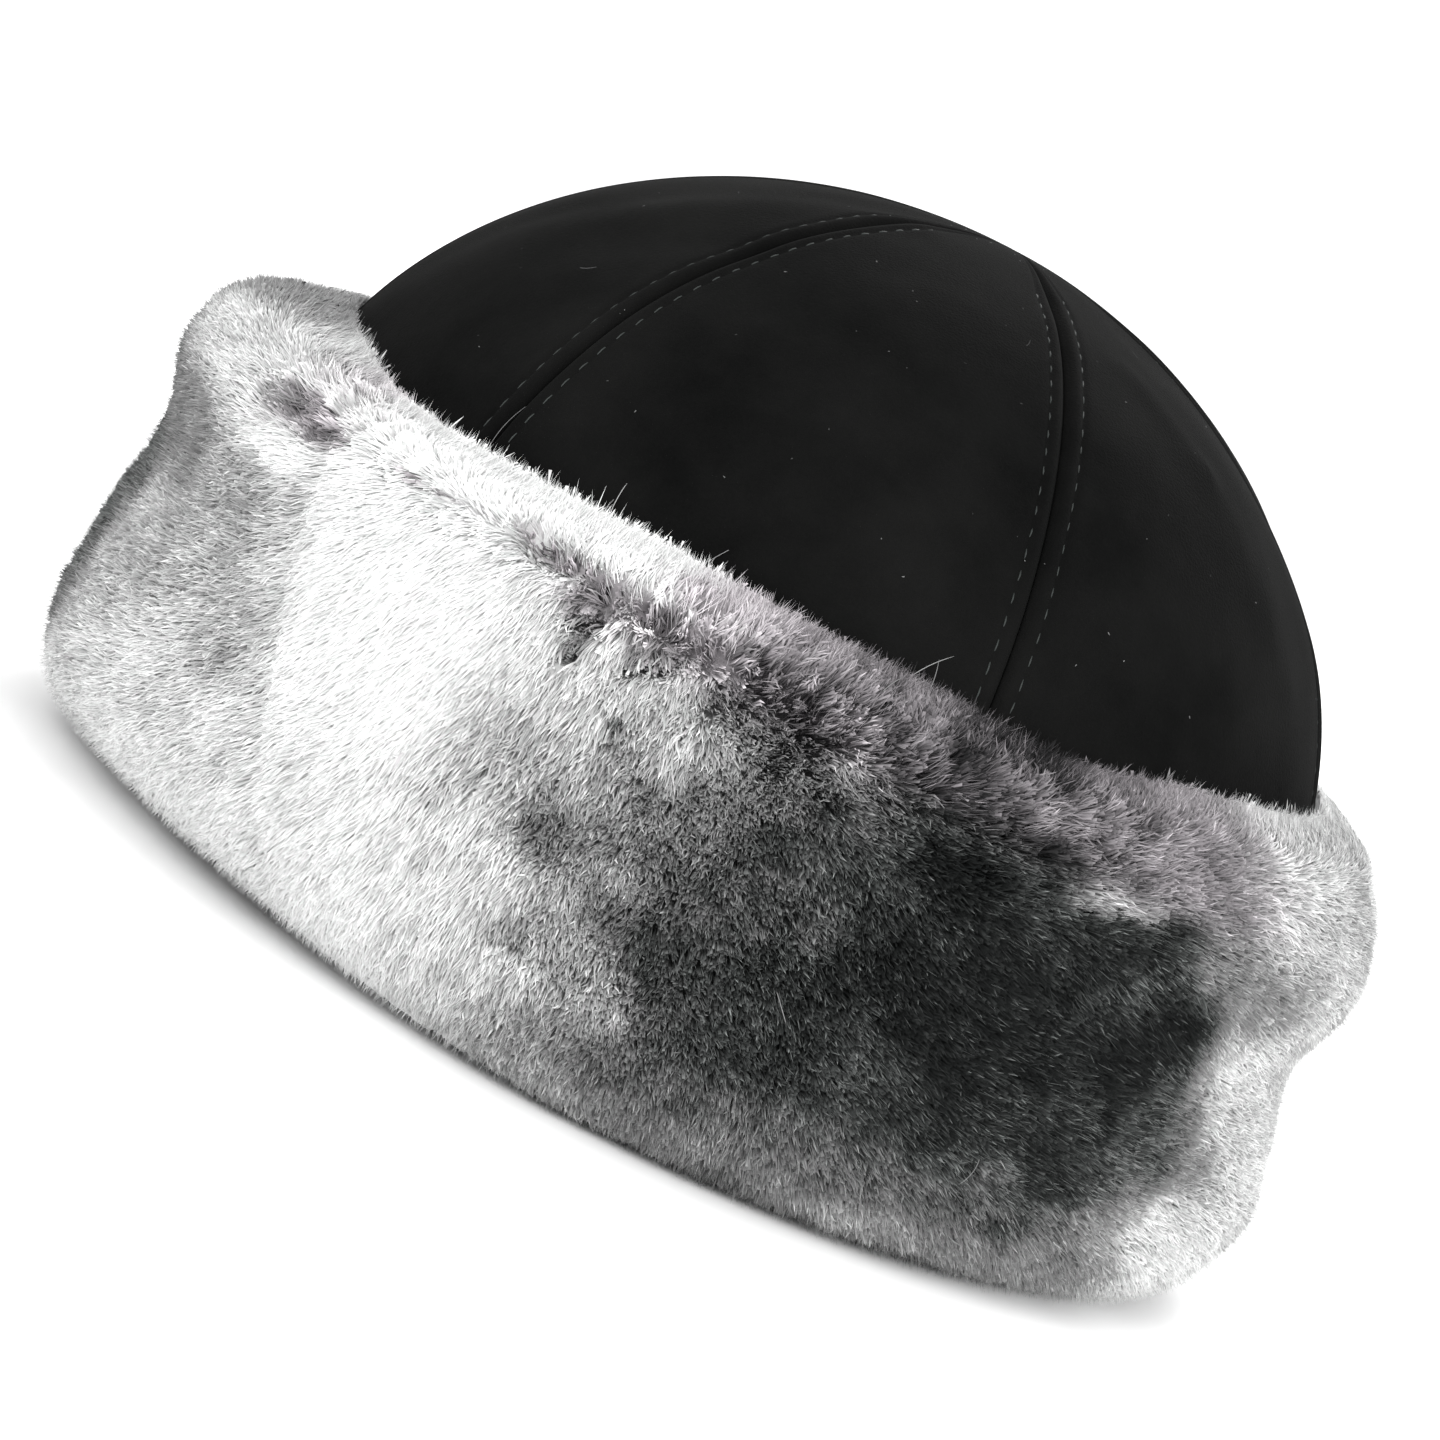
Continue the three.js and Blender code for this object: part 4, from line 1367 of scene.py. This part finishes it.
# The clump that a hair belongs to: its own numbers, and the way to its middle
def gatherClumps(place, column, row, coat):
    size = np.where(place["parted"] > furGrowth["wispFrom"], furLook["partingClump"], coat["clump"])
    wobble = furGrowth["clumpWobble"] * size
    azimuth, height, cell = place["azimuth"], place["height"], furGrowth["wobbleCell"]
    x = column * furGrowth["columnSize"] + wobble * valueNoise(azimuth, height, *cell, coat["seed"] + 1)
    y = row * furGrowth["rowSize"] + wobble * valueNoise(azimuth, height, *cell, coat["seed"] + 2)
    cellX, cellY = np.floor(x / size), np.floor(y / size)
    clump = clumpNumbers(cellX, cellY, coat["seed"] + 3, 6)
    toCenterX = (cellX + 0.5 + furGrowth["centerWander"] * clump[0]) * size - x
    toCenterY = (cellY + 0.5 + furGrowth["centerWander"] * clump[1]) * size - y
    return clump, toCenterX, toCenterY


def aboveFloor(points):
    points[:, 2] = np.maximum(points[:, 2], formShape["floorClearance"])
    return points


# Lays the hairs over: the column, place and normal of each tip
def layHairs(place, column, row, coat, calm, random):
    count = len(column)
    smooth, parted, above = place["smooth"], place["parted"], place["above"]
    clump, toCenterX, toCenterY = gatherClumps(place, column, row, coat)
    across, upward = combDirection(place["azimuth"], place["height"], above, calm, random, clump[2])
    least = furGrowth["leastReach"]
    reach = coat["lean"] * (least + (1 - least) * place["fullDepth"] / cuff["skinDepth"])
    farther = furLook["whiteLean"] * smooth
    farther = farther + furLook["crestLean"] * smoothStep(*furComb["uprightOver"], above)
    farther = farther + furLook["partingLean"] * parted
    reach = reach * (1 + farther * coat["farther"]) * random.uniform(*furGrowth["reachSpread"], count)
    pull = coat["pull"] * random.uniform(*furGrowth["pullSpread"], count)
    pull = np.minimum(pull * (1 + furLook["partingPull"] * parted), furGrowth["mostPull"])
    tipColumn = column + (reach * across + pull * toCenterX) / place["columnWidth"]
    tipRow = row + (reach * upward + pull * toCenterY) / place["rowHeight"]
    beyond = coat["beyondLip"] * random.exponential(1.0, count) - furGrowth["lipSetBack"]
    tipRow = np.minimum(tipRow, place["lipRun"] * (cuff["rows"] - 1) + beyond / place["rowHeight"])
    tipNormal = unit(readGrid(form["normal"], tipColumn, tipRow))
    even = 1 - furLook["whiteEven"] * smooth
    shortness = coat["short"] * np.abs(random.standard_normal(count)) * even
    lift = coat["stand"] + furLook["clumpHeight"] * clump[3] * (even + parted) - shortness
    lift = lift + furGrowth["tipWander"] * random.uniform(-1, 1, count)
    lift = np.maximum(lift, furGrowth["leastLength"] - place["depth"])
    tip = readGrid(form["points"], tipColumn, tipRow) + tipNormal * lift[:, None]
    return clump, tipColumn, tipNormal, aboveFloor(tip)


# The corners of each hair's one or two triangles, and the normals that it is shaded by
def shapeHairs(place, tip, tipNormal, coat, calm, random):
    count = len(tip)
    normal, depth = place["normal"], place["depth"]
    root = aboveFloor(place["base"] - normal * depth[:, None])
    spine = tip - root
    bent = np.minimum(1, depth / furGrowth["bentFrom"])
    middle = root + furLook["middleShare"] * spine
    middle = aboveFloor(middle + normal * (furLook["bow"] * bent)[:, None])
    direction = unit(spine)
    side = unit(np.cross(direction, normal))
    roll = np.radians(random.uniform(-furGrowth["roll"], furGrowth["roll"], count) * calm)[:, None]
    side = side * np.cos(roll) + np.cross(direction, side) * np.sin(roll)
    curl = furLook["curl"] * random.standard_normal(count) * bent * calm
    middle = middle + side * curl[:, None]
    half = coat["width"] / 2 * random.uniform(*furGrowth["widthSpread"], count)[:, None]
    if coat["form"] == "wedge":
        points = np.stack([root, tip - side * half, tip + side * half], axis=1)
    elif coat["form"] == "spike":
        points = np.stack([tip, root + side * half, root - side * half], axis=1)
    else:
        points = np.stack([root, middle - side * half, middle + side * half, tip], axis=1)
    share = furLook["roundness"]
    shading = share * tipNormal + (1 - share) * unit(np.cross(side, direction))
    shading = unit(shading + furLook["normalWander"] * random.standard_normal((count, 3)))
    return points, np.repeat(shading[:, None, :], points.shape[1], axis=1)


# Shade and tint at each corner, from the dye where the tip lies and where the root is
def shadeHairs(place, clump, tipColumn, tip, coat, random):
    count = len(tip)
    rootTone, parted = place["rootTone"], place["parted"]
    tipAzimuth = tipColumn / cuff["columns"] * 360 - 180
    tone = furTone(tipAzimuth, tip[:, 2])
    tint = furTint(tipAzimuth, tip[:, 2], tone)
    vary = furGrowth["varyLeast"] + furGrowth["varyGrey"] * tone * (1 - tone)
    clumpTone = furLook["clumpTone"] * clump[4] * (1 + furLook["partingTone"] * parted)
    own = tone + vary * (clumpTone + furLook["hairTone"] * random.standard_normal(count))
    patchy = 1 + layeredNoise(tipAzimuth, tip[:, 2], furGrowth["fleckPatches"], 51)
    often = furGrowth["fleckLeast"] + smoothStep(*furGrowth["fleckTones"], tone)
    often = coat["fleck"] * patchy * often
    flecked = random.uniform(0, 1, count) < often
    fleck = flecked * furLook["fleckLift"] * (1 - tone)
    tipShade = own + furLook["tipLift"] + fleck
    nearRoot = own + furLook["partingDark"] * parted * (np.minimum(rootTone, own) - own)
    middleShade = nearRoot - furLook["middleDrop"] + furGrowth["fleckMiddle"] * fleck
    plain = furLook["rootShade"]
    rootShare = plain + (1 - plain) * smoothStep(*furGrowth["rootWhite"], tone)
    rootShade = tone + parted * (np.minimum(tone, rootTone) - tone)
    rootShade = rootShade * rootShare * (1 - furLook["partingRoots"] * parted)
    if coat["form"] == "wedge":
        shade = np.stack([rootShade, own, own], axis=1)
    elif coat["form"] == "spike":
        shade = np.stack([tipShade, middleShade, middleShade], axis=1)
    else:
        shade = np.stack([rootShade, middleShade, middleShade, tipShade], axis=1)
    tint = tint + furGrowth["tintWander"] * random.standard_normal(count)
    tints = np.repeat(tint[:, None], shade.shape[1], axis=1)
    return np.clip(shade, furGrowth["leastShade"], 1), np.clip(tints, -1, 1)


def growHairs(column, row, coat, random):
    place = readPlaces(column, row)
    calm = 1 - furLook["whiteCalm"] * place["smooth"]
    clump, tipColumn, tipNormal, tip = layHairs(place, column, row, coat, calm, random)
    points, normals = shapeHairs(place, tip, tipNormal, coat, calm, random)
    shade, tints = shadeHairs(place, clump, tipColumn, tip, coat, random)
    return points, normals, shade, tints


def addCoat(name, points, normals, shade, tint):
    count, corners = shade.shape
    first = corners * np.arange(count)[:, None]
    if corners == 3:
        faces = first + [0, 2, 1]
        apart = np.array([0, -1, 1])
    else:
        faces = np.concatenate([first + [0, 2, 1], first + [1, 2, 3]], axis=1).reshape(-1, 3)
        apart = np.array([0, -1, 1, 0])
    uv = chartPlace(shade, tint, bakeChart["apart"] * apart)
    attributes = {"shade": shade.ravel(), "tint": tint.ravel()}
    return newPiece(name, points.reshape(-1, 3), faces, furMaterial, attributes,
                    normals.reshape(-1, 3), uv.reshape(-1, 2))


def addFur():
    joins = cuff["joins"]
    for i, start in enumerate(joins):
        width = (joins[(i + 1) % len(joins)] - start) % 360
        for coatName, coat in furCoats.items():
            random = np.random.default_rng(coat["seed"] + 7 * i)
            hairs = int(coat["hairs"] * width / furGrowth["hairsOver"])
            column, row = scatterRoots(start, width, hairs, coatName == "fringe", random)
            addCoat(f"fur_{coatName}_{i + 1}", *growHairs(column, row, coat, random))
        print(f"fur is grown on pelt {i + 1}")


# Stray hairs: azimuth, height of the root, length, lean to the side and bend, all about the rim

strayColumns = ["azimuth", "height", "length", "side", "bend"]
strayRows = [
    [-37.0, 87, 9.0, -0.1, 0.7],
    [-22.5, 87, 7.0, 0.3, -0.4],
    [-21.5, 88, 6.0, -0.2, 0.3],
    [-11.5, 88, 8.0, 0.5, 0.1],
    [10.5, 88, 9.0, 0.6, 0.4],
    [12.5, 87, 8.0, 0.2, -0.3],
    [-52.0, 79, 8.0, -0.7, 0.8],
    [-47.0, 78, 7.0, 0.5, -0.8],
    [-50.0, 80, 9.0, -0.2, 1.0],
    [60.0, 90, 7.0, -0.4, 0.5],
]
strays = {
    "width": 0.12,
    "steps": 9,
    "more": 34,               # others, anywhere on the cuff
    "moreLength": (3.0, 6.0),
    "shade": (0.4, 0.75),
    "outward": 0.55,          # how steeply they leave the fur
    "heights": (12, 88),      # of the others' roots
    "bend": 0.5,
    "fallBelow": 2.0,         # those that root lower than this under the parting point down
}


def strayHair(azimuth, height, length, side, bend):
    column = (azimuth + 180) / 360 * cuff["columns"]
    heights = form["points"][int(column) % cuff["columns"], :, 2]
    upper = np.where(np.arange(cuff["rows"]) < cuff["rows"] // 6, -99, heights)
    row = float(np.argmin(np.abs(upper - height)))
    at = np.array([column]), np.array([row])
    base = readGrid(form["points"], *at)[0]
    normal, around, up = (unit(readGrid(form[key], *at))[0] for key in ("normal", "around", "up"))
    rising = 1.0 if height > partingHeight(azimuth) - strays["fallBelow"] else -1.0
    heading = unit(side * around + rising * up + strays["outward"] * normal)
    turned = unit(np.cross(heading, normal))
    share = np.linspace(0, 1, strays["steps"])[:, None]
    bow = strays["bend"] * bend * share ** 2 * turned
    points = base - normal + length * (share * heading + bow)
    return ribbon(points, strays["width"], normal)


def addStrays():
    random = np.random.default_rng(71)
    ribbons = [strayHair(**dict(zip(strayColumns, row))) for row in strayRows]
    for _ in range(strays["more"]):
        ribbons.append(strayHair(random.uniform(-180, 180), random.uniform(*strays["heights"]),
                                 random.uniform(*strays["moreLength"]), random.uniform(-1, 1),
                                 random.uniform(-1, 1)))
    joinRibbons("stray_hairs", ribbons, random.uniform(*strays["shade"], len(ribbons)))


addSkins()
addFur()
addStrays()

triangles = sum(len(face.vertices) - 2 for item in bpy.data.objects
                if item.type == "MESH" and not item.hide_render for face in item.data.polygons)
print("triangles shown:", triangles)
